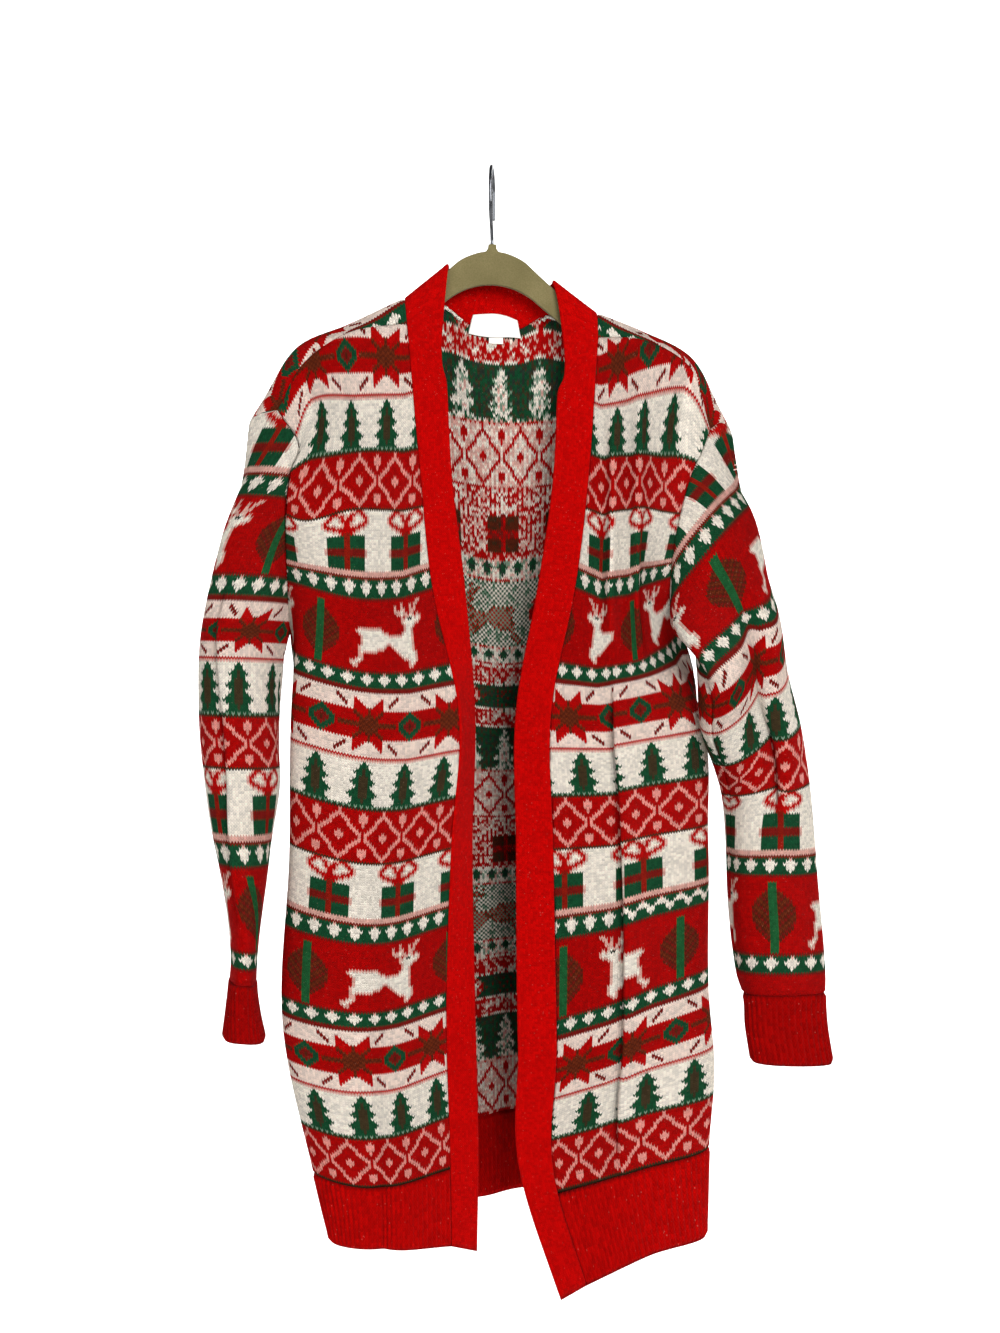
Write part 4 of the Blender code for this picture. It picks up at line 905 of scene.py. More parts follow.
# The reindeer faces the low wales. Each line gives the wales that it covers in one course.
DEER_FACING = [
    [(22, 22), (29, 30)],
    [(19, 19), (22, 22), (26, 26), (28, 29)],
    [(19, 19), (22, 23), (26, 26), (28, 28)],
    [(19, 20), (21, 23), (26, 28)],
    [(20, 24), (26, 27)],
    [(22, 22), (24, 27), (29, 29)],
    [(22, 24), (26, 30)],
    [(22, 30)],
    [(23, 29)],
    [(3, 12), (23, 27)],
    [(2, 13), (23, 26)],
    [(3, 15), (22, 26)],
    [(4, 26)],
    [(4, 26)],
    [(4, 26)],
    [(4, 26)],
    [(3, 14), (17, 26)],
    [(3, 13), (18, 26)],
    [(3, 10), (19, 26)],
    [(3, 4), (20, 27)],
    [(3, 4), (21, 27)],
    [(2, 4), (22, 27)],
    [(0, 3), (24, 27)],
    [(0, 2), (24, 26)],
    [(1, 2), (24, 25)],
]
LEAF_HALF = [0, 0, 1, 2, 3, 4, 5, 6, 6, 7, 7, 7, 7, 7, 7, 6, 6, 5, 4, 3, 2, 1, 0, 0, 0]
# The bands of one repeat from the top down, with their courses.
BANDS = [
    ("star", 28),
    ("trees", 21),
    ("diamonds", 22),
    ("gifts", 24),
    ("dots", 9),
    ("deer", 27),
    ("dots", 8),
]
REPEAT = sum(height for _, height in BANDS)

# The long pleat of the right front hides some wales beyond one wale, from one course on.
PLEAT_FROM = 104
PLEAT_EASES = 238
PLEAT_HIDES = 16
PLEAT_HIDES_LOW = 6
PLEAT_WALE = 27

# What the wrong side shows behind each colour: the yarns that take turns there, stitch by stitch.
BEHIND = {
    "star": {
        "P": "SSHS", "S": "WHWS", "R": "GKGO", "B": "GKGN", "F": "KGOG",
        "G": "RSRH", "T": "WHRH", "N": "WHWS",
    },
    "trees": {"W": "GOGK", "G": "WMWG", "O": "WWMH", "D": "HRHS", "M": "GWHG"},
    "diamonds": {"R": "WHPH", "L": "SRSR", "D": "HRSR"},
    "gifts": {"W": "HRPS", "G": "BDBB", "T": "NSNR", "N": "NSSN", "H": "RHSR", "S": "WHWR"},
    "dots": {"G": "WHWM", "W": "GKGG", "N": "HSWR"},
    "deer": {
        "R": "WGMG", "W": "RMTG", "K": "GGGG", "B": "RNMR", "N": "NRRM",
        "F": "RTNR", "E": "RRSR",
    },
}


def numbered(lines):
    """A chart written in letters as colour numbers."""
    return np.array([[LETTERS.index(letter) for letter in line] for line in lines])


def star_chart():
    """Eight-petalled star between two diamonds, told by distances from the star's centre."""
    row, column = np.indices((28, 32))
    x = np.abs(column - 16)
    y = np.abs(13.5 - row)
    chart = np.full(x.shape, "P")
    chart[(x <= 5.5) & (y <= 12) & (y <= 6 + 6 * x / 5.5)] = "S"
    chart[y <= 5.5] = "S"
    chart[y <= 4.5] = "R"
    heart = (np.maximum(x, y) <= 5.5) & ((np.abs(x - y) <= 1.2) | (x + y <= 4.6))
    heart |= (y <= 0.6) & (x <= 10.5) | (x <= 0.6) & (y <= 6.5)
    chart[heart] = np.where((row + column) % 2 == 0, "B", "F")[heart]
    away = 16 - x
    ring = away / 5.4 + y / 5.8
    chart[ring <= 1] = "G"
    chart[ring <= 0.55] = "N"
    chart[ring <= 0.25] = "B"
    slant = np.abs((x - 9.5) * 0.9 - (y - 9.5))
    chart[(slant < 0.75) & (x >= 7.6) & (x <= 11.4)] = "N"
    chart[0] = "N"
    chart[27] = "S"
    return chart


def diamond_chart():
    """Lattice of diamonds with a small cross in each and a sprig between."""
    row, column = np.indices((22, 16))
    x = np.abs(column - 8)
    y = np.abs(row - 10.5)
    chart = np.full(x.shape, "R")
    ring = x / 8 + y / 10.2
    chart[(ring > 0.8) & (ring <= 1.03)] = "L"
    chart[(x <= 0.5) & (y <= 2) | (x <= 1.5) & (y <= 0.6)] = "L"
    away = 8 - x
    sprig = (away <= 0.5) & (np.abs(row - 3.5) <= 2.5) | (away <= 1.5) & (np.abs(row - 3) <= 1)
    low = (away <= 0.5) & (np.abs(row - 17.5) <= 2) | (away <= 1.5) & (np.abs(row - 17) <= 1)
    chart[sprig | low] = "L"
    chart[21] = "D"
    return chart


def deer_chart():
    """One leaping reindeer and one leaf-shaped tree, 56 wales wide."""
    chart = np.full((27, 56), "R")
    for row, runs in enumerate(DEER_FACING, start=1):
        for start, end in runs:
            chart[row, 44 - end : 45 - start] = "W"
    chart[7, 18:20] = "K"
    for row, half in enumerate(LEAF_HALF, start=2):
        for column in range(-half, half + 1):
            chart[row, column] = "BFBN"[(row + abs(column)) % 4]
        chart[row, [-1, 0, 1]] = "E"
    return chart


def letters_to_numbers(chart):
    """Colour numbers of an array of letters."""
    return np.argsort(list(LETTERS))[np.searchsorted(sorted(LETTERS), chart)]


CHARTS = {
    "star": letters_to_numbers(star_chart()),
    "trees": numbered(TREES),
    "diamonds": letters_to_numbers(diamond_chart()),
    "gifts": numbered(GIFTS),
    "dots": numbered(DOTS),
    "deer": letters_to_numbers(deer_chart()),
}
CREAM = LETTERS.index("W")
BLUSH = LETTERS.index("H")
REDS = [LETTERS.index(letter) for letter in "RSNT"]


def blushed(chart):
    """Cream stitches beside a red one look pink, because the brushed red fibres lie over them."""
    red = np.isin(chart, REDS)
    near = np.zeros_like(red)
    near[1:] |= red[:-1]
    near[:-1] |= red[1:]
    near[:, 1:] |= red[:, :-1]
    near[:, :-1] |= red[:, 1:]
    return np.where((chart == CREAM) & near, BLUSH, chart)


def charted(courses, wales, centres, shift=0):
    """Colour numbers of the right and the wrong side, stitch by stitch.

    centres gives the wale on which each band's chart is centred: one number, or one for each
    repeat from the top. shift adds wales that a pleat hides.
    """
    shift = np.broadcast_to(shift, (len(courses), len(wales)))
    front = np.empty((len(courses), len(wales)), int)
    behind = np.empty_like(front)
    place_in = np.mod(courses, REPEAT)
    chance = np.random.default_rng(11).random((len(courses), len(wales)))
    stray = (chance < 0.3) + 2 * (chance > 0.85)
    streaks = (courses[:, None] // 2 * 2 + wales[None, :] + stray) % 4
    checks = (courses[:, None] + wales[None, :]) % 2 + 2 * (chance > 0.8)
    start = 0
    for name, height in BANDS:
        chart = CHARTS[name]
        rows = np.nonzero((place_in >= start) & (place_in < start + height))[0]
        line = place_in[rows] - start
        line = line + (line >= 4) * (len(chart) - height)
        centre = np.broadcast_to(centres[name], 3)[np.clip(courses[rows] // REPEAT, 0, 2)]
        wide = chart.shape[1]
        column = np.mod(wales + shift[rows] - centre[:, None] + wide // 2, wide)
        front[rows] = chart[line[:, None], column]
        four = np.repeat(np.arange(len(LETTERS))[:, None], 4, axis=1)
        for letter, shown in BEHIND[name].items():
            four[LETTERS.index(letter)] = [LETTERS.index(other) for other in shown]
        turn = checks if name == "deer" else streaks
        behind[rows] = four[front[rows], turn[rows]]
        start += height
    return blushed(front), behind


# ---------------------------------------------------------------------------------- meshes
def rounded(distance, radius):
    """Share of the full thickness at a distance from an edge that is rounded off."""
    part = np.clip(distance / radius, 0, 1)
    return np.sqrt(1 - (1 - part) ** 2)


def link(name, mesh, finish):
    """Adds a mesh as a piece with its material."""
    thing = bpy.data.objects.new(name, mesh)
    bpy.context.scene.collection.objects.link(thing)
    mesh.materials.append(finish)
    return thing


def mesh_of(name, points, polygons, uv):
    """A smooth-shaded mesh from arrays of quads and triangles, with one UV for each vertex."""
    mesh = bpy.data.meshes.new(name)
    totals = np.concatenate([np.full(len(faces), faces.shape[1]) for faces in polygons])
    loops = np.concatenate([faces.ravel() for faces in polygons])
    mesh.vertices.add(len(points))
    mesh.vertices.foreach_set("co", points.astype(np.float32).ravel())
    mesh.loops.add(len(loops))
    mesh.loops.foreach_set("vertex_index", loops.astype(np.int32))
    mesh.polygons.add(len(totals))
    mesh.polygons.foreach_set("loop_start", np.r_[0, np.cumsum(totals)[:-1]].astype(np.int32))
    mesh.update(calc_edges=True)
    layer = mesh.uv_layers.new(name="stitches")
    layer.data.foreach_set("uv", uv[loops].astype(np.float32).ravel())
    mesh.polygons.foreach_set("use_smooth", np.ones(len(totals), bool))
    mesh.update()
    return mesh


def trimmed_faces(index, keep):
    """Quads and triangles of a grid whose corners may have been pulled together, with their cells."""
    corners = np.stack([index[:-1, :-1], index[:-1, 1:], index[1:, 1:], index[1:, :-1]], axis=-1)
    cells = np.argwhere(keep)
    quads = corners[keep]
    same = quads == np.roll(quads, -1, axis=1)
    count = same.sum(axis=1)
    crossed = (quads[:, 0] == quads[:, 2]) | (quads[:, 1] == quads[:, 3])
    whole = (count == 0) & ~crossed
    cut = (count == 1) & ~crossed
    turn = (np.argmax(same[cut], axis=1)[:, None] + [1, 2, 3]) % 4
    triangles = np.take_along_axis(quads[cut], turn, axis=1)
    return [quads[whole], triangles], np.concatenate([cells[whole], cells[cut]])


def wall_of(
    name, across, course, points, normals, lift, sink, outward, finish, keep=None, colours=None, only=0
):
    """A closed wall of knit on a grid of corners; with only at 1 or -1, just its outside or inside.

    A corner of the outside is its middle point plus its normal times lift, one of the inside is
    the middle point minus its normal times sink. On the edge both are the middle point itself.
    Corners at the same place across and down are one corner.
    """
    key = np.round(across / MM * 1e3).astype(np.int64) * 10**7
    key = key + np.round(course * 1e3).astype(np.int64)
    _, first, index = np.unique(key.ravel(), return_index=True, return_inverse=True)
    index = index.reshape(across.shape)
    keep = np.ones((across.shape[0] - 1, across.shape[1] - 1), bool) if keep is None else keep
    (quads, triangles), cells = trimmed_faces(index, keep)
    sides = [np.stack([group, np.roll(group, -1, axis=1)], axis=-1) for group in (quads, triangles)]
    pairs = np.sort(np.concatenate([side.reshape(-1, 2) for side in sides]), axis=1)
    edges, used = np.unique(pairs, axis=0, return_counts=True)
    rim = np.zeros(len(first), bool)
    rim[edges[used == 1].ravel()] = True
    middle = points.reshape(-1, 3)[first]
    normal = normals.reshape(-1, 3)[first]
    up = np.where(rim, 0, np.broadcast_to(lift, across.shape).ravel()[first])[:, None]
    down = np.where(rim, 0, np.broadcast_to(sink, across.shape).ravel()[first])[:, None]
    inner = np.arange(len(first))
    inner[~rim] = len(first) + np.arange((~rim).sum())
    stitch = np.stack([across.ravel()[first] / WALE, course.ravel()[first]], axis=1)
    outside = [group if outward > 0 else group[:, ::-1] for group in (quads, triangles)]
    if only > 0:
        every, faces = middle + normal * up, outside
    elif only < 0:
        every, faces = middle - normal * down, [group[:, ::-1] for group in outside]
    else:
        every = np.concatenate([middle + normal * up, (middle - normal * down)[~rim]])
        stitch = np.concatenate([stitch, stitch[~rim]])
        faces = [np.concatenate([group, inner[group[:, ::-1]]]) for group in outside]
    mesh = mesh_of(name, every, faces, stitch)
    if colours is not None:
        front, behind = colours
        cut = len(quads)
        for label, step in (("stitch", 0), ("under", 1)):
            row = np.minimum(cells[:, 0] + step, front.shape[0] - 1)
            right = PALETTE[front[row, cells[:, 1]]]
            wrong = PALETTE[behind[row, cells[:, 1]]]
            if only:
                value = right if only > 0 else wrong
            else:
                value = np.concatenate([right[:cut], wrong[:cut], right[cut:], wrong[cut:]])
            value = np.concatenate([value, np.ones((len(value), 1))], axis=1)
            layer = mesh.attributes.new(label, "FLOAT_COLOR", "FACE")
            layer.data.foreach_set("color", value.astype(np.float32).ravel())
    return link(name, mesh, finish)


def swept(name, rows, finish):
    """A tube: rings of points, one for each station, closed at its ends. UV is along and around."""
    stations, sides = rows.shape[:2]
    index = np.arange(stations * sides).reshape(stations, sides)
    index = np.concatenate([index, index[:, :1]], axis=1)
    corners = [index[:-1, :-1], index[1:, :-1], index[1:, 1:], index[:-1, 1:]]
    quads = np.stack(corners, axis=-1).reshape(-1, 4)
    along = lengths(rows.mean(axis=1))
    both = np.broadcast_arrays(along[:, None] / MM, np.arange(sides)[None, :])
    uv = np.stack(both, axis=-1).reshape(-1, 2)
    points = rows.reshape(-1, 3)
    ends = np.stack([rows[0].mean(axis=0), rows[-1].mean(axis=0)])
    points = np.concatenate([points, ends])
    uv = np.concatenate([uv, [[0, 0], [along[-1] / MM, 0]]])
    start = np.full(sides, stations * sides)
    caps = np.concatenate([
        np.stack([start, index[0, :-1], index[0, 1:]], axis=-1),
        np.stack([start + 1, index[-1, 1:], index[-1, :-1]], axis=-1),
    ])
    return link(name, mesh_of(name, points, [quads, caps], uv), finish)


def tube_rings(path, radius, sides):
    """Rings of a round tube about a path; radius may change along it."""
    tangent = unit(np.gradient(path, axis=0))
    lead = np.array([1.0, 0.0, 0.0]) if abs(tangent[:, 0]).max() < 0.9 else np.array([0.0, 0.0, 1.0])
    first = unit(np.cross(tangent, lead))
    second = np.cross(tangent, first)
    turn = np.linspace(0, 2 * pi, sides, endpoint=False)[None, :, None]
    radius = np.broadcast_to(radius, len(path))[:, None, None]
    return path[:, None] + (first[:, None] * np.cos(turn) + second[:, None] * np.sin(turn)) * radius


# ------------------------------------------------------------------------------- materials
def material(name):
    """A new material with its node tree, its Principled shader and a helper that adds nodes."""
    made = bpy.data.materials.new(name)
    made.use_nodes = True
    tree = made.node_tree
    shader = tree.nodes["Principled BSDF"]

    def node(kind, inputs=(), **settings):
        """Adds a node, sets its properties, then links or sets its inputs."""
        new = tree.nodes.new(kind)
        for key, value in settings.items():
            setattr(new, key, value)
        for slot_name, value in dict(inputs).items():
            if isinstance(value, bpy.types.NodeSocket):
                tree.links.new(value, new.inputs[slot_name])
            else:
                new.inputs[slot_name].default_value = value
        return new

    def wire(source, slot_name):
        """Links a socket to an input of the shader."""
        tree.links.new(source, shader.inputs[slot_name])

    return made, shader, node, wire


LEG_SLOPE = 0.95
GROOVE_POWER = 6.0
STITCH_UNEVEN = 0.34
PATCHY = 0.12
# Painted shade in the stitches: the next constant makes the raised legs lighter and the grooves darker in
# the base colour.
PAINTED_GROOVE_SHADE = 0.30
SHADED = 0.15
UNDER_SHARP = -5.0
STRAY_SIZE = 0.10
STRAY_SHARE = 0.12


def knit_material(name, colour=None, mottle=0.42, relief=1.0):
    """Brushed acrylic jersey, knitted on a flat machine: soft V stitches under a low fuzz.

    The V of each stitch is two legs that meet at its foot, so between two colours the edge runs in
    a zigzag. The fuzz lights up a little toward the outline and evens out the gloss. Painted shade
    in the base colour makes the raised legs lighter and the grooves between them darker.
    """
    made, shader, node, wire = material(name)
    uv = node("ShaderNodeUVMap", uv_map="stitches").outputs[0]
    parts = node("ShaderNodeSeparateXYZ", {0: uv})

    def calc(how, first, second=0.0, clamp=False):
        """One arithmetic node."""
        return node("ShaderNodeMath", {0: first, 1: second}, operation=how, use_clamp=clamp).outputs[0]

    wale = calc("FRACT", parts.outputs[0])
    rise = calc("SUBTRACT", 1.0, calc("FRACT", parts.outputs[1]))
    beside = calc("ABSOLUTE", calc("SUBTRACT", calc("MULTIPLY", wale, 2.0), 1.0))
    leg = calc("SUBTRACT", rise, calc("MULTIPLY", beside, LEG_SLOPE))
    ripple = calc("COSINE", calc("MULTIPLY", leg, 2 * pi))
    groove = calc("SUBTRACT", 1.0, calc("POWER", beside, GROOVE_POWER))
    height = calc("MULTIPLY", calc("SUBTRACT", 0.5, calc("MULTIPLY", ripple, 0.5)), groove)
    # A hair of the brushed surface is 0.02 mm thick and can't be seen, so clumps of about a
    # stitch and patches of about a hand's width stand for it.
    noise = "ShaderNodeTexNoise"
    clumps = node(noise, {"Vector": uv, "Scale": 1.1, "Detail": 4.0, "Roughness": 0.75}).outputs[0]
    patches = node(noise, {"Vector": uv, "Scale": 0.06, "Detail": 2.0, "Roughness": 0.5}).outputs[0]
    cell = node("ShaderNodeVectorMath", {0: uv}, operation="FLOOR").outputs[0]
    uneven = node("ShaderNodeTexWhiteNoise", {"Vector": cell}).outputs[0]
    light = calc("ADD", calc("MULTIPLY", clumps, mottle), 1.0 - mottle * 0.5 - SHADED)
    light = calc("ADD", light, calc("MULTIPLY", calc("SUBTRACT", uneven, 0.5), STITCH_UNEVEN))
    light = calc("ADD", light, calc("MULTIPLY", calc("SUBTRACT", patches, 0.5), PATCHY))
    # Painted shade: the stitch height lightens the raised legs and darkens the grooves in the base colour.
    light = calc("ADD", light, calc("MULTIPLY", height, PAINTED_GROOVE_SHADE))
    if colour is None:
        here = node("ShaderNodeAttribute", attribute_name="stitch").outputs[0]
        under = node("ShaderNodeAttribute", attribute_name="under").outputs[0]
        share = calc("ADD", calc("MULTIPLY", leg, UNDER_SHARP), 0.5, True)
        mixed = node("ShaderNodeMix", {0: share, 6: here, 7: under}, data_type="RGBA").outputs[2]
    else:
        mixed = node("ShaderNodeRGB")
        mixed.outputs[0].default_value = (*shade(colour), 1)
        mixed = mixed.outputs[0]
    # Single pale fibres that the brushing pulled through from the other yarns.
    stray = node("ShaderNodeTexVoronoi", {"Vector": uv, "Scale": 0.55}, feature="F1").outputs[0]
    fleck = calc("MULTIPLY", calc("LESS_THAN", stray, STRAY_SIZE), STRAY_SHARE)
    pale = (*shade("#E8B0A0"), 1)
    flecked = node("ShaderNodeMix", {0: fleck, 6: mixed, 7: pale}, data_type="RGBA").outputs[2]
    lit = node("ShaderNodeVectorMath", {0: flecked, "Scale": light}, operation="SCALE").outputs[0]
    wire(lit, "Base Color")
    rough = calc("ADD", calc("MULTIPLY", clumps, 0.12), 0.82)
    wire(rough, "Roughness")
    bump = node("ShaderNodeBump", {"Strength": relief, "Distance": 1.2 * MM, "Height": height})
    fuzz = node(
        "ShaderNodeBump",
        {"Strength": 0.35, "Distance": 0.5 * MM, "Height": clumps, "Normal": bump.outputs[0]},
    )
    wire(fuzz.outputs[0], "Normal")
    shader.inputs["Specular IOR Level"].default_value = 0.01
    shader.inputs["Sheen Weight"].default_value = 0.01
    shader.inputs["Sheen Roughness"].default_value = 0.5
    return made


def flocked_material():
    """Rayon velvet flock on moulded plastic: matt, olive brown, paler where the pile leans away."""
    made, shader, node, wire = material("velvet_flock")
    place_at = node("ShaderNodeTexCoord").outputs["Object"]
    # Pile fibres are 0.5 mm apart at most; the grain is drawn at about 1 mm so that it shows.
    noise = "ShaderNodeTexNoise"
    grain = node(noise, {"Vector": place_at, "Scale": 900.0, "Detail": 3.0, "Roughness": 0.6})
    brushed = node(noise, {"Vector": place_at, "Scale": 25.0, "Detail": 2.0, "Roughness": 0.5})
    level = node("ShaderNodeMath", {0: grain.outputs[0], 1: brushed.outputs[0]}, operation="MULTIPLY")
    ramp = node("ShaderNodeValToRGB", {0: level.outputs[0]})
    ramp.color_ramp.elements[0].position = 0.12
    ramp.color_ramp.elements[0].color = (*shade("#615939"), 1)
    ramp.color_ramp.elements[1].position = 0.42
    ramp.color_ramp.elements[1].color = (*shade("#766C4A"), 1)
    wire(ramp.outputs[0], "Base Color")
    bump = node("ShaderNodeBump", {"Strength": 0.4, "Distance": 0.3 * MM, "Height": grain.outputs[0]})
    wire(bump.outputs[0], "Normal")
    shader.inputs["Roughness"].default_value = 0.95
    shader.inputs["Specular IOR Level"].default_value = 0.15
    shader.inputs["Sheen Weight"].default_value = 0.15
    shader.inputs["Sheen Roughness"].default_value = 0.4
    return made


def chrome_material():
    """Steel wire, drawn, bent and chrome plated: bright, with faint haze from handling in its roughness.
    Its base colour is painted dark grey that shifts with the haze, as painted dark reflections.
    """
    made, shader, node, wire = material("chromed_wire")
    place_at = node("ShaderNodeTexCoord").outputs["Object"]
    haze = node("ShaderNodeTexNoise", {"Vector": place_at, "Scale": 220.0, "Detail": 3.0, "Roughness": 0.6})
    rough = node("ShaderNodeMapRange", {0: haze.outputs[0], 1: 0.3, 2: 0.7, 3: 0.14, 4: 0.3})
    wire(rough.outputs[0], "Roughness")
    # Painted dark reflections: the base colour of the chrome is dark grey, shifting with the haze, in place
    # of dark surroundings to reflect.
    painted_dark_reflection = (*shade("#4A4B4E"), 1)
    bright = (*shade("#66686C"), 1)
    tone = node("ShaderNodeMix", {0: haze.outputs[0], 6: painted_dark_reflection, 7: bright}, data_type="RGBA")
    wire(tone.outputs[2], "Base Color")
    shader.inputs["Metallic"].default_value = 1.0
    return made


def woven_material():
    """White polyester label tape, woven in satin and cut hot: smooth, with a faint crosswise grain."""
    made, shader, node, wire = material("label_satin")
    uv = node("ShaderNodeUVMap", uv_map="stitches").outputs[0]
    # Threads of 0.1 mm are drawn 0.5 mm apart.
    wave = {"Vector": uv, "Scale": 1.2, "Distortion": 0.6}
    threads = node("ShaderNodeTexWave", wave, bands_direction="Y")
    worn = node("ShaderNodeTexNoise", {"Vector": uv, "Scale": 0.5, "Detail": 3.0, "Roughness": 0.6})
    grey = (*shade("#DAD6CC"), 1)
    white = (*shade("#F4F2EC"), 1)
    tone = node("ShaderNodeMix", {0: worn.outputs[0], 6: grey, 7: white}, data_type="RGBA")
    wire(tone.outputs[2], "Base Color")
    bump = node("ShaderNodeBump", {"Strength": 0.25, "Distance": 0.1 * MM, "Height": threads.outputs[0]})
    wire(bump.outputs[0], "Normal")
    shader.inputs["Roughness"].default_value = 0.6
    shader.inputs["Sheen Weight"].default_value = 0.15
    return made


def thread_material():
    """Overlock seam in polyester thread over the cut yarns: short turns of cream, green and black."""
    made, shader, node, wire = material("overlock_thread")
    uv = node("ShaderNodeUVMap", uv_map="stitches").outputs[0]
    turns = node("ShaderNodeTexNoise", {"Vector": uv, "Scale": 0.45, "Detail": 2.0, "Roughness": 0.7})
    ramp = node("ShaderNodeValToRGB", {0: turns.outputs[0]})
    ramp.color_ramp.interpolation = "CONSTANT"
    ramp.color_ramp.elements[0].color = (*shade("#232A22"), 1)
    ramp.color_ramp.elements[1].position = 0.42
    ramp.color_ramp.elements[1].color = (*shade("#E9DFD2"), 1)
    for position, code in ((0.55, "#1D4A2C"), (0.62, "#E7C9BC"), (0.7, "#9C1310")):
        ramp.color_ramp.elements.new(position).color = (*shade(code), 1)
    wire(ramp.outputs[0], "Base Color")
    bump = node("ShaderNodeBump", {"Strength": 0.6, "Distance": 0.6 * MM, "Height": turns.outputs[0]})
    wire(bump.outputs[0], "Normal")
    shader.inputs["Roughness"].default_value = 0.85
    return made


# ------------------------------------------------------------------------ stitches on cloth
def trim_to(cloth, across, course, crown):
    """Moves grid corners past a cut edge onto it; gives them with their falls and edges.

    crown(across) is the course at which the piece starts there. Falls run from 0 at the crown
    to 1 at the last course.
    """
    moved = across
    for _ in range(5):
        top = crown(moved)
        fall = (np.maximum(course, top) - top) / (BODY_COURSES - top)
        first = np.interp(fall, cloth.falls, cloth.first)
        last = np.interp(fall, cloth.falls, cloth.last)
        moved = np.clip(across, first, last)
    top = crown(moved)
    kept = np.maximum(course, top)
    fall = (kept - top) / (BODY_COURSES - top)
    return moved, kept, fall, first, last, top


def swallowed(courses, wales):
    """Wales that lie hidden in the long pleat of the right front, course by course."""
    reached = [courses < PLEAT_FROM, courses < PLEAT_EASES]
    hidden = np.select(reached, [0, PLEAT_HIDES], PLEAT_HIDES_LOW)
    return hidden[:, None] * (wales[None, :] > PLEAT_WALE)


def panel_wall(name, cloth, tip, outward, centres, finish, pleat=None):
    """A front in stitches, rounded off at each seam. Wales past its cut edges are pulled in."""
    wales = np.arange(-FRONT_SPARE, FRONT_WALES + 1) * WALE
    courses = np.arange(0, BODY_COURSES + 1)
    crown = crown_front(tip)
    across, course = np.meshgrid(wales, courses.astype(float))
    moved, kept, fall, first, last, top = trim_to(cloth, across, course, crown)
    part = (moved - first) / (last - first)
    points, normals = cloth.at(part, fall)
    edge = rounded(moved - first, SEAM_ROUND) * rounded(last - moved, SEAM_ROUND)
    edge *= rounded((kept - top) * COURSE, SEAM_ROUND)
    edge *= rounded((BODY_COURSES - kept) * COURSE, TUCKED_ROUND)
    numbers = np.round(wales[:-1] / WALE).astype(int)
    shift = pleat(courses[:-1], numbers) if pleat else 0
    colours = charted(courses[:-1], numbers, centres, shift)
    half = KNIT / 2 * edge
    return wall_of(name, moved, kept, points, normals, half, half, outward, finish, None, colours)


def rib_wall(name, cloth, wide, end_fall, ribs, outward, finish):
    """A rib: rounded ridges on the outside, and the hollows between them raised on the inside."""
    turn = np.linspace(0, 1, ribs * COLUMNS_A_RIB + 1)
    share, row = np.meshgrid(turn, np.arange(RIB_COURSES + 1.0))
    fall = 1 + (end_fall - 1) * row / RIB_COURSES
    points, normals = cloth.at(share, fall)
    wave = 0.5 - 0.5 * np.cos(2 * pi * share * ribs)
    sides = rounded(wide * share, RIB_SIDE_ROUND) * rounded(wide - wide * share, RIB_SIDE_ROUND)
    ends = rounded(row * COURSE, TUCKED_ROUND) * rounded((RIB_COURSES - row) * COURSE, FREE_ROUND)
    lift = (RIB_KNIT / 2 - RIB_HOLLOW + (RIB_RISE + RIB_HOLLOW) * wave) * sides * ends
    sink = (RIB_KNIT / 2 - RIB_BACK_HOLLOW * wave) * sides * ends
    across = share * ribs * 2 * WALE
    return wall_of(name, across, row, points, normals, lift, sink, outward, finish)


def band_wall(name, outer, inner, outward, finish):
    """A front band between its seam and its free edge, both rounded."""
    share = np.linspace(0, 1, 22)
    share = 0.5 - 0.5 * np.cos(pi * share)
    points = outer[:, None] * (1 - share)[None, :, None] + inner[:, None] * share[None, :, None]
    down = np.gradient(points, axis=0)
    over = np.gradient(points, axis=1)
    normals = unit(np.cross(over, down)) * outward
    width = np.linalg.norm(inner - outer, axis=1)[:, None]
    length = lengths((outer + inner) / 2)[:, None]
    away = width * share[None, :]
    sides = rounded(away, BAND_SEAM_ROUND) * rounded(width - away, FREE_ROUND)
    ends = rounded(length, TUCKED_ROUND) * rounded(length[-1] - length, BAND_FOOT_ROUND)
    half = BAND_KNIT / 2 * sides * ends
    across = np.broadcast_to(share[None, :] * BAND_WIDTH, points.shape[:2])
    course = np.broadcast_to(length / COURSE, points.shape[:2])
    return wall_of(name, across, course, points, normals, half, half, outward, finish)


def crown_front(tip):
    """Course of the shoulder seam across a front: 0 at the neck, tip at the end of the shoulder."""
    return lambda across: tip * np.clip((across - NECK_CUT) / SHOULDER_WIDTH, 0, 1)


def crown_back(across):
    """Course at which each wale of the back starts: the shoulders slope, the neck is scooped."""
    slope = BACK_TIP + NECK_START
    start = NECK_FROM * MM
    end = NECK_TO * MM
    left = BACK_TIP - slope * np.clip((across - BACK_TIP_ACROSS) / SHOULDER_WIDTH, 0, 1)
    right = -NECK_START + slope * np.clip((across - end) / SHOULDER_WIDTH, 0, 1)
    scoop = np.sin(pi * np.clip((across - start) / (end - start), 0, 1)) * NECK_SCOOP - NECK_START
    return np.where(across < start, left, np.where(across > end, right, scoop))


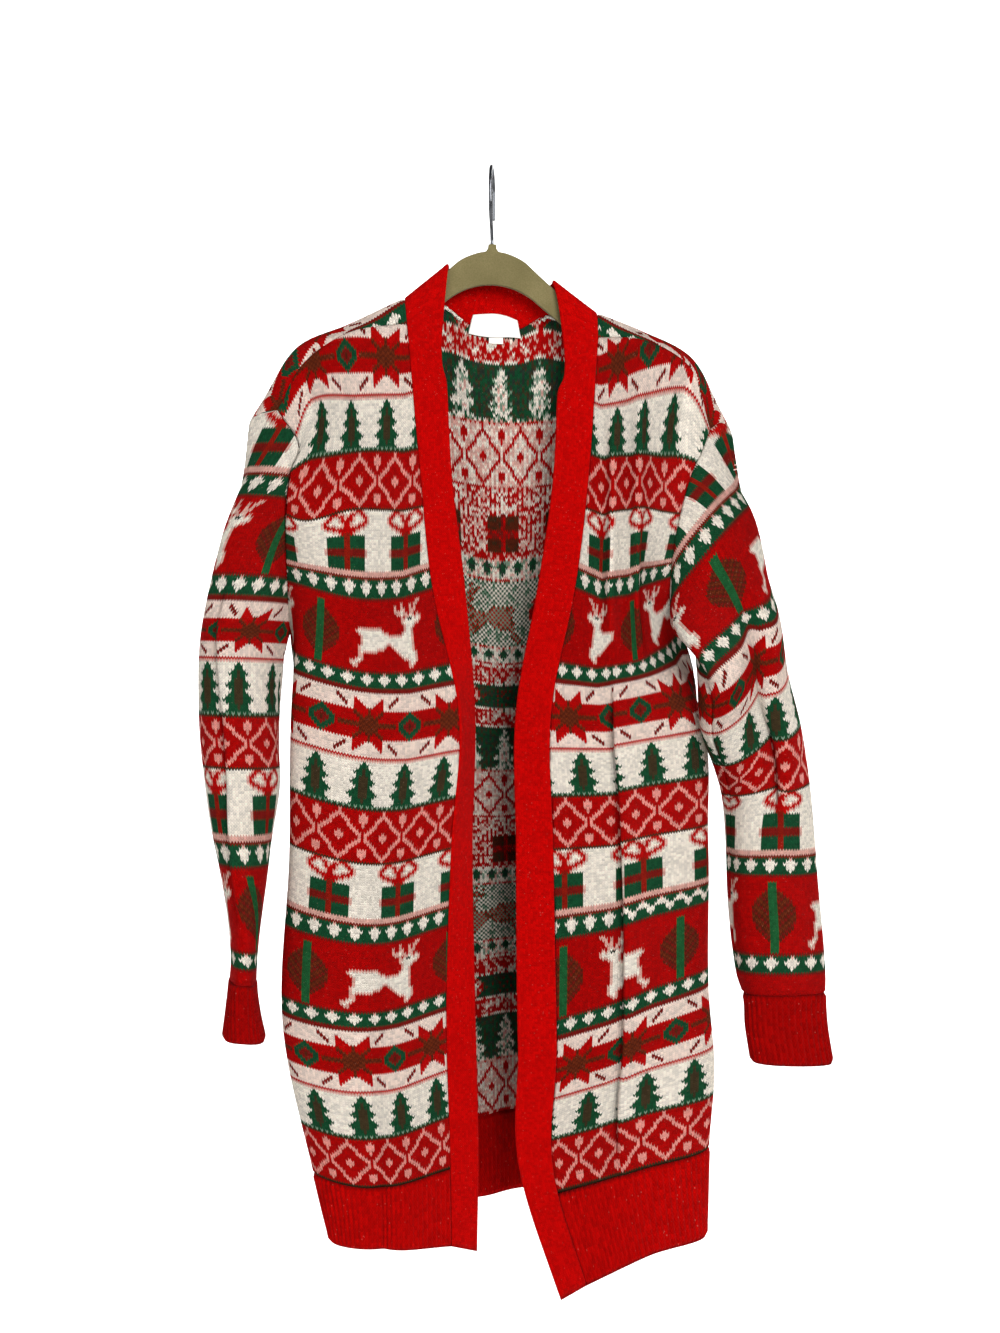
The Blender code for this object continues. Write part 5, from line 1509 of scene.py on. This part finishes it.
def met(back_cloth, left, right):
    """Pulls the back's shoulder and side edges exactly onto those of the two fronts."""
    points = back_cloth.points
    falls = back_cloth.falls
    parts = np.linspace(0, 1, points.shape[1])
    start = back_cloth.first[0]
    across = start + parts * (back_cloth.last[0] - start)
    near = eased(1 - falls / MEET_FALL)[:, None, None]
    for front_cloth, low, high, turned in (
        (left, start, NECK_FROM * MM, True),
        (right, NECK_TO * MM, back_cloth.last[0], False),
    ):
        line = front_cloth.points[0][::-1] if turned else front_cloth.points[0]
        length = lengths(line)
        here = (across >= low - HAIR) & (across <= high + HAIR)
        share = (across[here] - low) / (high - low)
        wanted = resampled(line, length / length[-1], share)
        points[:, here] += (wanted - points[0, here])[None] * near
    low_half = falls >= UNDERARM
    for front_cloth, column, order in ((left, 0, 1), (right, -1, -1)):
        wanted = front_cloth.at(1.0, falls[low_half])[0]
        gap = wanted - points[low_half, column]
        fade = eased(1 - np.arange(points.shape[1]) / MEET_COLUMNS)[::order]
        points[low_half] += gap[:, None] * fade[None, :, None]
    return back_cloth


def ring_courses(arm, courses, wales):
    """Stitches of a sleeve whose courses follow its rings.

    Gives each corner's place across, its course, turn and fall, and how far it lies below the
    armhole seam and inside the underarm seam.
    """
    around = np.array([lengths(row)[-1] for row in arm.points])
    average = CAP_COURSES / 3 + arm.falls * (SLEEVE_COURSES - CAP_COURSES / 3)
    across, course = np.meshgrid(wales * WALE, courses.astype(float))
    moved = across
    kept = course
    for _ in range(6):
        round_here = np.interp(kept, average, around)
        moved = np.clip(across, -round_here / 2, round_here / 2)
        turn = 0.5 + moved / round_here
        cap = cap_courses(turn)
        kept = np.maximum(course, cap)
    fall = (kept - cap) / (SLEEVE_COURSES - cap)
    return moved, kept, turn, fall, (kept - cap) * COURSE, round_here / 2 - np.abs(moved)


def level_courses(arm, courses, wales):
    """The same for a sleeve whose courses hang level and are cut off by the armhole."""
    falls = arm.falls[arm.falls <= 1]
    turns = np.linspace(0, 1, FINE_COLUMNS + 1)
    half = FINE_COLUMNS // 2
    held = arm.points[: len(falls)]
    drop = -held[..., 2] - LEVEL_LEAN * held[..., 0]
    wanted = np.interp(courses / SLEEVE_COURSES, falls, drop[:, half])
    level = np.stack([np.interp(wanted, column, falls) for column in drop.T], axis=1)
    cap = cap_courses(turns)
    ring = np.clip((courses[:, None] - cap) / (SLEEVE_COURSES - cap), 0, 1)
    settle = eased((courses / SLEEVE_COURSES - LEVEL_UNTIL) / (1 - LEVEL_UNTIL))[:, None]
    level = level * (1 - settle) + ring * settle
    first = np.interp(wanted, drop[0, half::-1], turns[half::-1])
    last = np.interp(wanted, drop[0, half:], turns[half:])
    turn = first[:, None] + (last - first)[:, None] * turns
    fall = np.stack([np.interp(line, turns, row) for line, row in zip(turn, level)])
    step = np.linalg.norm(np.diff(arm.at(turn, fall)[0], axis=1), axis=2)
    length = np.concatenate([np.zeros((len(courses), 1)), np.cumsum(step, axis=1)], axis=1)
    length -= np.stack([np.interp(0.5, line, row) for line, row in zip(turn, length)])[:, None]
    flat = np.broadcast_to(wales * WALE, (len(courses), len(wales)))
    moved = np.clip(flat, length[:, :1], length[:, -1:])
    turn = np.stack([np.interp(line, row, given) for line, row, given in zip(moved, length, turn)])
    fall = np.stack([np.interp(line, turns, row) for line, row in zip(turn, level)])
    kept = np.broadcast_to(courses[:, None].astype(float), moved.shape)
    return moved, kept, turn, fall, moved - length[:, :1], length[:, -1:] - moved


def sleeve_wall(name, arm, laid, offset, side, centres, finish):
    """A sleeve in stitches, flat from its outer fold, cut along the underarm and over its cap.

    offset is the course of the body's pattern that the sleeve starts with.
    """
    wales = np.arange(-SLEEVE_HALF_WALES, SLEEVE_HALF_WALES + 1)
    courses = np.arange(0, SLEEVE_COURSES + 1)
    moved, kept, turn, fall, near, beside = laid(arm, courses, wales)
    points, normals = arm.at(turn, fall)
    edge = rounded(near, SEAM_ROUND) * rounded(beside, SEAM_ROUND)
    edge *= rounded((SLEEVE_COURSES - kept) * COURSE, TUCKED_ROUND)
    front, behind = charted(courses[:-1] + offset, wales[:-1] * side, centres)
    plain = courses[:-1] + offset >= 2 * REPEAT
    front[plain] = LETTERS.index("R")
    behind[plain] = LETTERS.index("R")
    half = KNIT / 2 * edge
    colours = (front, behind)
    return wall_of(name, moved, kept, points, normals, half, half, side, finish, None, colours)


# ----------------------------------------------------------------------------- small pieces
def upright(point):
    """A point of a flat outline, (out, drop) in millimetres, turned by the hanger's tilt."""
    out = (point[0] - TILT_ABOUT[0]) * MM
    rise = -(point[1] - TILT_ABOUT[1]) * MM
    turn = -HANGER_TILT
    across = out * cos(turn) - rise * sin(turn) + TILT_ABOUT[0] * MM
    height = out * sin(turn) + rise * cos(turn) - TILT_ABOUT[1] * MM
    return across, height


def smooth_outline(points, count):
    """A smooth line through a table of (out, drop), mirrored at its first point."""
    given = np.array(points, float)
    both = np.concatenate([(given * [-1, 1])[:0:-1], given])
    step = lengths(both)
    half = len(given) - 1
    return hermite(step, both, np.linspace(step[half], step[-1], count))


def hanger_piece(finish):
    """The arched body: one flat outline, filled and rounded all round, with its spike on top."""
    top = [tuple(point) for point in smooth_outline(HANGER_TOP, 90)]
    under = [tuple(point) for point in smooth_outline(HANGER_UNDER, 80)]
    spike = [(SPIKE_TOP, SPIKE_TOP_DROP), (SPIKE_TOP + 0.5, 69)]
    spike += [(SPIKE_BASE - 0.4, HANGER_TOP[0][1] - 0.4)]
    right = spike + [point for point in top if point[0] > SPIKE_BASE + 0.6] + under[::-1]
    outline = right + [(-x, d) for x, d in reversed(right) if x > 0.01]
    curve = bpy.data.curves.new("arch", "CURVE")
    curve.dimensions = "2D"
    curve.fill_mode = "BOTH"
    curve.extrude = HANGER_THICK / 2 - HANGER_EDGE
    curve.bevel_depth = HANGER_EDGE
    curve.bevel_resolution = 3
    spline = curve.splines.new("POLY")
    spline.points.add(len(outline) - 1)
    for point, given in zip(spline.points, outline):
        across, height = upright(given)
        point.co = (across, height, 0, 1)
    spline.use_cyclic_u = True
    maker = bpy.data.objects.new("arch", curve)
    bpy.context.scene.collection.objects.link(maker)
    bpy.context.view_layer.update()
    made = maker.evaluated_get(bpy.context.evaluated_depsgraph_get())
    mesh = bpy.data.meshes.new_from_object(made)
    bpy.data.objects.remove(maker)
    mesh.transform(Matrix.Rotation(pi / 2, 4, "X"))
    mesh.name = "hanger_arch"
    mesh.materials.clear()
    return link("hanger_arch", mesh, finish)


def hook_piece(finish):
    """The wire hook, bent smoothly from its free end over the rod and in to the spike."""
    line = HOOK_RADIUS + WIRE / 2
    tip_round = 1.3 * MM
    stations = 180
    path = [(line, HOOK_END + 1.2 * MM), (line, HOOK_END / 2)]
    path += [(line * cos(a), line * sin(a) - HOOK_RADIUS) for a in np.linspace(0, pi, 9)]
    path += [(y * MM, -d * MM) for y, d in STEM]
    flat = np.array(path)
    step = lengths(flat)
    at = np.linspace(0, step[-1], stations)
    fine = hermite(step, flat, at)
    points = np.stack([fine[:, 0] * sin(HOOK_TURN), fine[:, 0] * cos(HOOK_TURN), fine[:, 1]], axis=1)
    radius = WIRE / 2 * np.sqrt(np.clip(1 - np.clip(1 - at / tip_round, 0, 1) ** 2, 0.02, 1))
    return swept("wire_hook", tube_rings(points, radius, 20), finish)


def sewn_grid(rows, behind):
    """Middle points of a flap laid on the cloth behind it, smoothed between its knots."""
    rows_down = 24
    rows_across = 40
    middle = np.empty((len(rows), len(rows[0].points), 3))
    for row, sewn in enumerate(rows):
        for column, (out, drop) in enumerate(sewn.points):
            start = place(out, LABEL_FROM, drop)
            depth = min(tree.ray_cast(start, (0, 1, 0))[3] or 1 for tree in behind)
            middle[row, column] = start + [0, depth - sewn.clear * MM - LABEL_THICK / 2 - 0.1 * MM, 0]
    down = np.linspace(0, len(rows) - 1, rows_down)
    fine = hermite(np.arange(len(rows)), middle.reshape(len(rows), -1), down)
    fine = fine.reshape(rows_down, -1, 3).transpose(1, 0, 2)
    count = fine.shape[0]
    over = np.linspace(0, count - 1, rows_across)
    fine = hermite(np.arange(count), fine.reshape(count, -1), over)
    return fine.reshape(rows_across, rows_down, 3).transpose(1, 0, 2)


def flap_piece(name, rows, behind, size, finish):
    """A woven label or tab with sharp cut edges."""
    points = sewn_grid(rows, behind)
    down = np.gradient(points, axis=0)
    over = np.gradient(points, axis=1)
    normals = -unit(np.cross(over, down))
    long, wide = points.shape[:2]
    share, fall = np.meshgrid(np.linspace(0, 1, wide), np.linspace(0, 1, long))
    across = share * size[0]
    course = fall * size[1] / COURSE
    edge = rounded(across, CUT_ROUND) * rounded(size[0] - across, CUT_ROUND)
    edge *= rounded(fall * size[1], CUT_ROUND) * rounded((1 - fall) * size[1], CUT_ROUND)
    half = LABEL_THICK / 2 * edge
    return wall_of(name, across, course, points, normals, half, half, -1, finish)


def tree_of(thing):
    """The faces of an object, to be met by a ray."""
    points = [vertex.co for vertex in thing.data.vertices]
    return BVHTree.FromPolygons(points, [face.vertices for face in thing.data.polygons])


# ------------------------------------------------------------------------------- the pieces
left = front([LEFT_EDGE, LEFT_MIDDLE, LEFT_SIDE], [LEFT_SEAM], [], LEFT_FOLDS, 1)
right = front([RIGHT_EDGE, RIGHT_MIDDLE, RIGHT_SIDE], [RIGHT_SEAM], RIGHT_FOLDS, RIGHT_PLEATS, -1)
behind = met(back(), left, right)

jacquard = knit_material("brushed_jacquard")
plain_band = knit_material("band_jersey", "#AC0302", mottle=0.35, relief=0.6)
# Painted shade: the hem ribs and, darker still, the cuff ribs are copies of the band's red made darker for
# the shade on them; all are one red yarn.
hem_rib_painted_shade = knit_material("rib_knit_red_painted_shade", "#A20302", mottle=0.35, relief=0.6)
cuff_rib_painted_shade = knit_material("rib_knit_cuff_painted_shade", "#8C0302", mottle=0.35, relief=0.6)

# The wale on which each chart is centred. Wales count from the centre edge of a front, from the
# left side of the back, and from the outer fold of a sleeve.
LEFT_CENTRES = {
    "star": (27, 35, 37),
    "trees": (43, 36, 36),
    "diamonds": (39, 43, 43),
    "gifts": (17, 19, 19),
    "dots": 15,
    "deer": (26, 24, 24),
}
RIGHT_CENTRES = {
    "star": (-3, 6, 6),
    "trees": (12, 9, 12),
    "diamonds": 18,
    "gifts": (-8, 0, 0),
    "dots": 3,
    "deer": (27, 28, 28),
}
BACK_CENTRES = {
    "star": 100,
    "trees": 100,
    "diamonds": 92,
    "gifts": 100,
    "dots": 100,
    "deer": 92,
}
LEFT_SLEEVE_CENTRES = {
    "star": -36,
    "trees": -32,
    "diamonds": -27,
    "gifts": (-32, -17, -17),
    "dots": -24,
    "deer": -4,
}
RIGHT_SLEEVE_CENTRES = {
    "star": -27,
    "trees": -21,
    "diamonds": -24,
    "gifts": (-30, -26, -26),
    "dots": -26,
    "deer": (10, 1, 1),
}

knit_left = panel_wall("knit_front_left", left, LEFT_TIP, 1, LEFT_CENTRES, jacquard)
knit_right = panel_wall(
    "knit_front_right", right, RIGHT_TIP, -1, RIGHT_CENTRES, jacquard, swallowed
)


def back_walls(cloth, finish):
    """The back in stitches: its outside and its inside are two sheets that meet along every edge.

    One wale on each side is moved onto the end of the neck, so that a seam can run down there.
    """
    neck_from = NECK_FROM * MM
    neck_to = NECK_TO * MM
    from_column = round(neck_from / WALE) + BACK_SPARE
    to_column = round(neck_to / WALE) + BACK_SPARE
    wales = np.arange(-BACK_SPARE, BACK_WALES + BACK_SPARE + 1) * WALE
    wales[from_column] = neck_from
    wales[to_column] = neck_to
    courses = np.arange(-NECK_START, BODY_COURSES + 1)
    across, course = np.meshgrid(wales, courses.astype(float))
    moved, kept, fall, first, last, top = trim_to(cloth, across, course, crown_back)
    span = BODY_COURSES - top
    neck = (moved > neck_from + HAIR) & (moved < neck_to - HAIR)
    kept = np.where(neck, np.maximum(kept, top + NECK_FALL * span), kept)
    fall = (kept - top) / span
    part = (moved - first) / (last - first)
    points, normals = cloth.at(part, fall)
    keep = np.ones((across.shape[0] - 1, across.shape[1] - 1), bool)
    for column, inner in ((from_column, from_column + 1), (to_column - 1, to_column - 1)):
        keep[:, column] = kept[1:, inner] <= course[1:, inner] + HAIR
    above = np.where(neck, top + NECK_FALL * span, top)
    edge = rounded(moved - first, SEAM_ROUND) * rounded(last - moved, SEAM_ROUND)
    edge *= rounded((kept - above) * COURSE, SEAM_ROUND)
    edge *= rounded((BODY_COURSES - kept) * COURSE, TUCKED_ROUND)
    beside = np.minimum(np.abs(moved - neck_from), np.abs(moved - neck_to))
    edge *= rounded(np.where(fall < NECK_FALL, beside, 1.0), NECK_SIDE_ROUND)
    half = KNIT / 2 * edge
    numbers = np.arange(-BACK_SPARE, BACK_WALES + BACK_SPARE)
    colours = charted(courses[:-1], numbers, BACK_CENTRES)
    return [
        wall_of(name, moved, kept, points, normals, half, half, 1, finish, keep, colours, only)
        for name, only in (("knit_back", 1), ("knit_back_inside", -1))
    ]


knit_back, knit_back_inside = back_walls(behind, jacquard)

start_courses = cap_courses(np.linspace(0, 1, FINE_COLUMNS + 1))
loop_left = armhole_loop(left, 1.0, behind, 0.0)
loop_right = armhole_loop(right, 1.0, behind, 1.0)
arm_left = sleeve(
    LEFT_RINGS, LEFT_SLEEVE_FOLD, LEFT_PUFF, loop_left, start_courses, SLEEVE_FALLS, 1
)
arm_right = sleeve(
    RIGHT_RINGS, RIGHT_SLEEVE_FOLD, RIGHT_PUFF, loop_right, start_courses, SLEEVE_FALLS, -1
)
knit_sleeve_left = sleeve_wall(
    "knit_sleeve_left", arm_left, level_courses, LEFT_SLEEVE_STARTS, 1, LEFT_SLEEVE_CENTRES, jacquard
)
knit_sleeve_right = sleeve_wall(
    "knit_sleeve_right", arm_right, ring_courses, RIGHT_SLEEVE_STARTS, -1, RIGHT_SLEEVE_CENTRES, jacquard
)

rib_left, rib_right, rib_back, cuff_left, cuff_right = [
    rib_wall(*row)
    for row in (
        ("rib_front_left", left, FRONT_WIDTH, HEM_FALL, FRONT_RIBS, 1, hem_rib_painted_shade),
        ("rib_front_right", right, FRONT_WIDTH, HEM_FALL, FRONT_RIBS, -1, hem_rib_painted_shade),
        ("rib_back", behind, BACK_WIDTH, HEM_FALL, BACK_RIBS, 1, hem_rib_painted_shade),
        ("rib_cuff_left", arm_left, CUFF_ROUND, CUFF_FALL, CUFF_RIBS, 1, cuff_rib_painted_shade),
        ("rib_cuff_right", arm_right, CUFF_ROUND, CUFF_FALL, CUFF_RIBS, -1, cuff_rib_painted_shade),
    )
]


def side_band(name, front_cloth, neck_across, inner, outward):
    """The band of one front. It starts on the ridge of the shoulder, where the neck band ends."""
    over = np.linspace(RIDGE_FALL, 0, 9)[:-1]
    down = np.linspace(0, HEM_FALL, 190)
    seam_over = behind.at(behind.part_of(neck_across * MM, over), over)[0]
    seam = np.r_[seam_over, front_cloth.at(0.0, down)[0]]
    return band_wall(name, seam, line_at(inner, np.r_[-over, down]), outward, plain_band)


jersey_left = side_band("jersey_band_left", left, NECK_FROM, BAND_LEFT_INNER, -1)
jersey_right = side_band("jersey_band_right", right, NECK_TO, BAND_RIGHT_INNER, 1)


def neck_seam_line():
    """The neck seam of the back: down from one shoulder's ridge, across, and up to the other's."""
    drop = np.linspace(RIDGE_FALL, NECK_FALL, 12)
    flat = np.linspace(NECK_FROM, NECK_TO, 90)[1:-1] * MM
    low = behind.at(behind.part_of(NECK_FROM * MM, drop), drop)[0]
    level = behind.at(behind.part_of(flat, NECK_FALL), NECK_FALL)[0]
    high = behind.at(behind.part_of(NECK_TO * MM, drop), drop)[0][::-1]
    return np.concatenate([low, level, high])


neck_outer = neck_seam_line()
neck_share = lengths(neck_outer) / lengths(neck_outer)[-1]
jersey_neck = band_wall("jersey_band_neck", neck_outer, line_at(NECK_INNER, neck_share), 1, plain_band)

cloth_behind = [tree_of(jersey_neck), tree_of(knit_back_inside)]
satin = woven_material()
label = flap_piece("woven_label", LABEL, cloth_behind, LABEL_SIZE, satin)
tab = flap_piece("woven_size_tab", SIZE_TAB, cloth_behind, TAB_SIZE, satin)


def overlock(name, start, end, seed):
    """A stretch of overlocked seam allowance under the back neck, as a ragged cord of thread.

    It runs a little in front of and below the neck seam; a running mean of chance shakes it.
    """
    stations = 90
    spread = 5
    length = lengths(neck_outer)
    at = np.linspace(start * length[-1], end * length[-1], stations)
    path = resampled(neck_outer, length, at)
    shake = np.random.default_rng(seed).normal(size=stations + spread - 1)
    rough = np.convolve(shake, np.ones(spread) / spread, "valid")
    forward = -2.0 * MM + 0.4 * MM * rough
    rise = -1.0 * MM + 1.4 * MM * rough
    path = path + np.stack([0 * at, forward, rise], axis=1)
    radius = 1.1 * MM + 0.5 * MM * np.abs(rough)
    return swept(name, tube_rings(path, radius, 10), threads)


threads = thread_material()
seam_left = overlock("overlocked_seam_left", 0.10, 0.33, 5)
seam_right = overlock("overlocked_seam_right", 0.70, 0.91, 8)


def snagged_loop():
    """A loop of pale yarn pulled out of the upper right sleeve."""
    start = place(207, -120, 252)
    hit = tree_of(knit_sleeve_right).ray_cast(start, (0, 1, 0))
    foot = np.array(hit[0])
    turn = np.linspace(0.1, 2 * pi - 0.1, 40)
    out = 3.2 * MM * np.sin(turn) * (1 - 0.3 * np.cos(turn))
    rise = 5.0 * MM * (np.cos(turn) - 1) / 2
    lift = -0.6 * MM - 2.2 * MM * np.sin(turn / 2)
    path = foot + np.stack([out + 0.5 * rise, lift, rise * 0.9], axis=1)
    yarn = knit_material("pulled_yarn", "#F0C3B8", relief=0.3)
    return swept("pulled_loop", tube_rings(path, 0.5 * MM, 8), yarn)


snag = snagged_loop()
arch = hanger_piece(flocked_material())
wire = hook_piece(chrome_material())

# ------------------------------------------------------------------------ riding and replacing
for piece, node, slot_name in (
    (knit_left, "front_left", "jacquard_knit"),
    (knit_right, "front_right", "jacquard_knit"),
    (knit_back, "back_panel", "jacquard_knit"),
    (knit_back_inside, "back_panel", "jacquard_knit"),
    (knit_sleeve_left, "sleeve_left", "jacquard_knit"),
    (knit_sleeve_right, "sleeve_right", "jacquard_knit"),
    (snag, "sleeve_right", "jacquard_knit"),
    (rib_left, "hem_front_left", "rib_knit"),
    (rib_right, "hem_front_right", "rib_knit"),
    (rib_back, "hem_back", "rib_knit"),
    (cuff_left, "cuff_left", "rib_knit"),
    (cuff_right, "cuff_right", "rib_knit"),
    (jersey_left, "band_left", "band_knit"),
    (jersey_right, "band_right", "band_knit"),
    (jersey_neck, "band_neck", "band_knit"),
    (seam_left, "band_neck", "band_knit"),
    (seam_right, "band_neck", "band_knit"),
    (label, "neck_label", "label"),
    (tab, "size_tab", "label"),
    (arch, "hanger_body", "flocking"),
    (wire, "hanger_hook", "hook_steel"),
):
    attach(piece, "root")
    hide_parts(node)


# ------------------------------------------------------------------------- stage and lights
def sweep_material():
    """Matt white seamless paper, very faintly mottled."""
    made, shader, node, wire_to = material("seamless_paper")
    place_at = node("ShaderNodeTexCoord").outputs["Object"]
    cloud = node("ShaderNodeTexNoise", {"Vector": place_at, "Scale": 1.5, "Detail": 2.0, "Roughness": 0.5})
    pale = (*shade("#F7F7F7"), 1)
    white = (*shade("#FFFFFF"), 1)
    tone = node("ShaderNodeMix", {0: cloud.outputs[0], 6: pale, 7: white}, data_type="RGBA")
    wire_to(tone.outputs[2], "Base Color")
    shader.inputs["Roughness"].default_value = 0.9
    return made


def sweep():
    """Floor and backdrop in one sheet with a rounded corner."""
    corner = 0.7
    floor_drop = 1.45
    back_at = 3.4
    angle = np.linspace(0, pi / 2, 16)
    front_at = -4.0
    top = 3.0
    half_width = 4.5
    depth = np.r_[front_at, back_at - corner + corner * np.sin(angle), back_at]
    height = np.r_[-floor_drop, -floor_drop + corner - corner * np.cos(angle), top]
    side = np.array([-half_width, half_width])
    grid = np.broadcast_arrays(side[None, :], depth[:, None], height[:, None])
    points = np.stack(grid, axis=-1).reshape(-1, 3)
    index = np.arange(len(points)).reshape(-1, 2)
    quads = np.stack([index[:-1, 0], index[:-1, 1], index[1:, 1], index[1:, 0]], axis=-1)
    mesh = mesh_of("paper_sweep", points, [quads], points[:, :2])
    return link("paper_sweep", mesh, sweep_material())


def panel_light(name, place_at, target, size, watts):
    """A soft rectangular light aimed at a point."""
    lamp = bpy.data.lights.new(name, "AREA")
    lamp.shape = "RECTANGLE"
    lamp.size, lamp.size_y = size
    lamp.energy = watts
    thing = bpy.data.objects.new(name, lamp)
    bpy.context.scene.collection.objects.link(thing)
    aim = np.array(target) - np.array(place_at)
    flat = np.hypot(aim[0], aim[1])
    thing.location = place_at
    thing.rotation_euler = (np.arctan2(flat, -aim[2]), 0, np.arctan2(-aim[0], aim[1]))
    return thing


ROOM_LIGHT = 0.22
SENSOR = 36
FOCAL_LENGTH = 47.64
EYE = (0.0068, -1.5, -0.4233)

paper = sweep()
lamps = [
    panel_light("key", (0.9, -2.2, 0.5), (0, 0, -0.45), (1.3, 1.3), 72),
    panel_light("fill", (-1.6, -2.2, -0.1), (0, 0, -0.5), (1.6, 1.8), 23),
    panel_light("paper_left", (-2.2, 1.9, 0.8), (-0.2, 3.4, -0.5), (0.8, 2.0), 105),
    panel_light("paper_right", (2.2, 1.9, 0.8), (0.2, 3.4, -0.5), (0.8, 2.0), 105),
]
world = bpy.data.worlds.new("soft_room")
world.use_nodes = True
room = world.node_tree.nodes["Background"]
room.inputs["Color"].default_value = (1, 1, 1, 1)
room.inputs["Strength"].default_value = ROOM_LIGHT
bpy.context.scene.world = world

lens = bpy.data.cameras.new("front_view")
lens.sensor_width = SENSOR
lens.lens = FOCAL_LENGTH
camera = bpy.data.objects.new("front_view", lens)
camera.location = EYE
camera.rotation_euler = (pi / 2, 0, 0)
bpy.context.scene.collection.objects.link(camera)
bpy.context.scene.camera = camera

bpy.context.scene.view_settings.view_transform = "Standard"
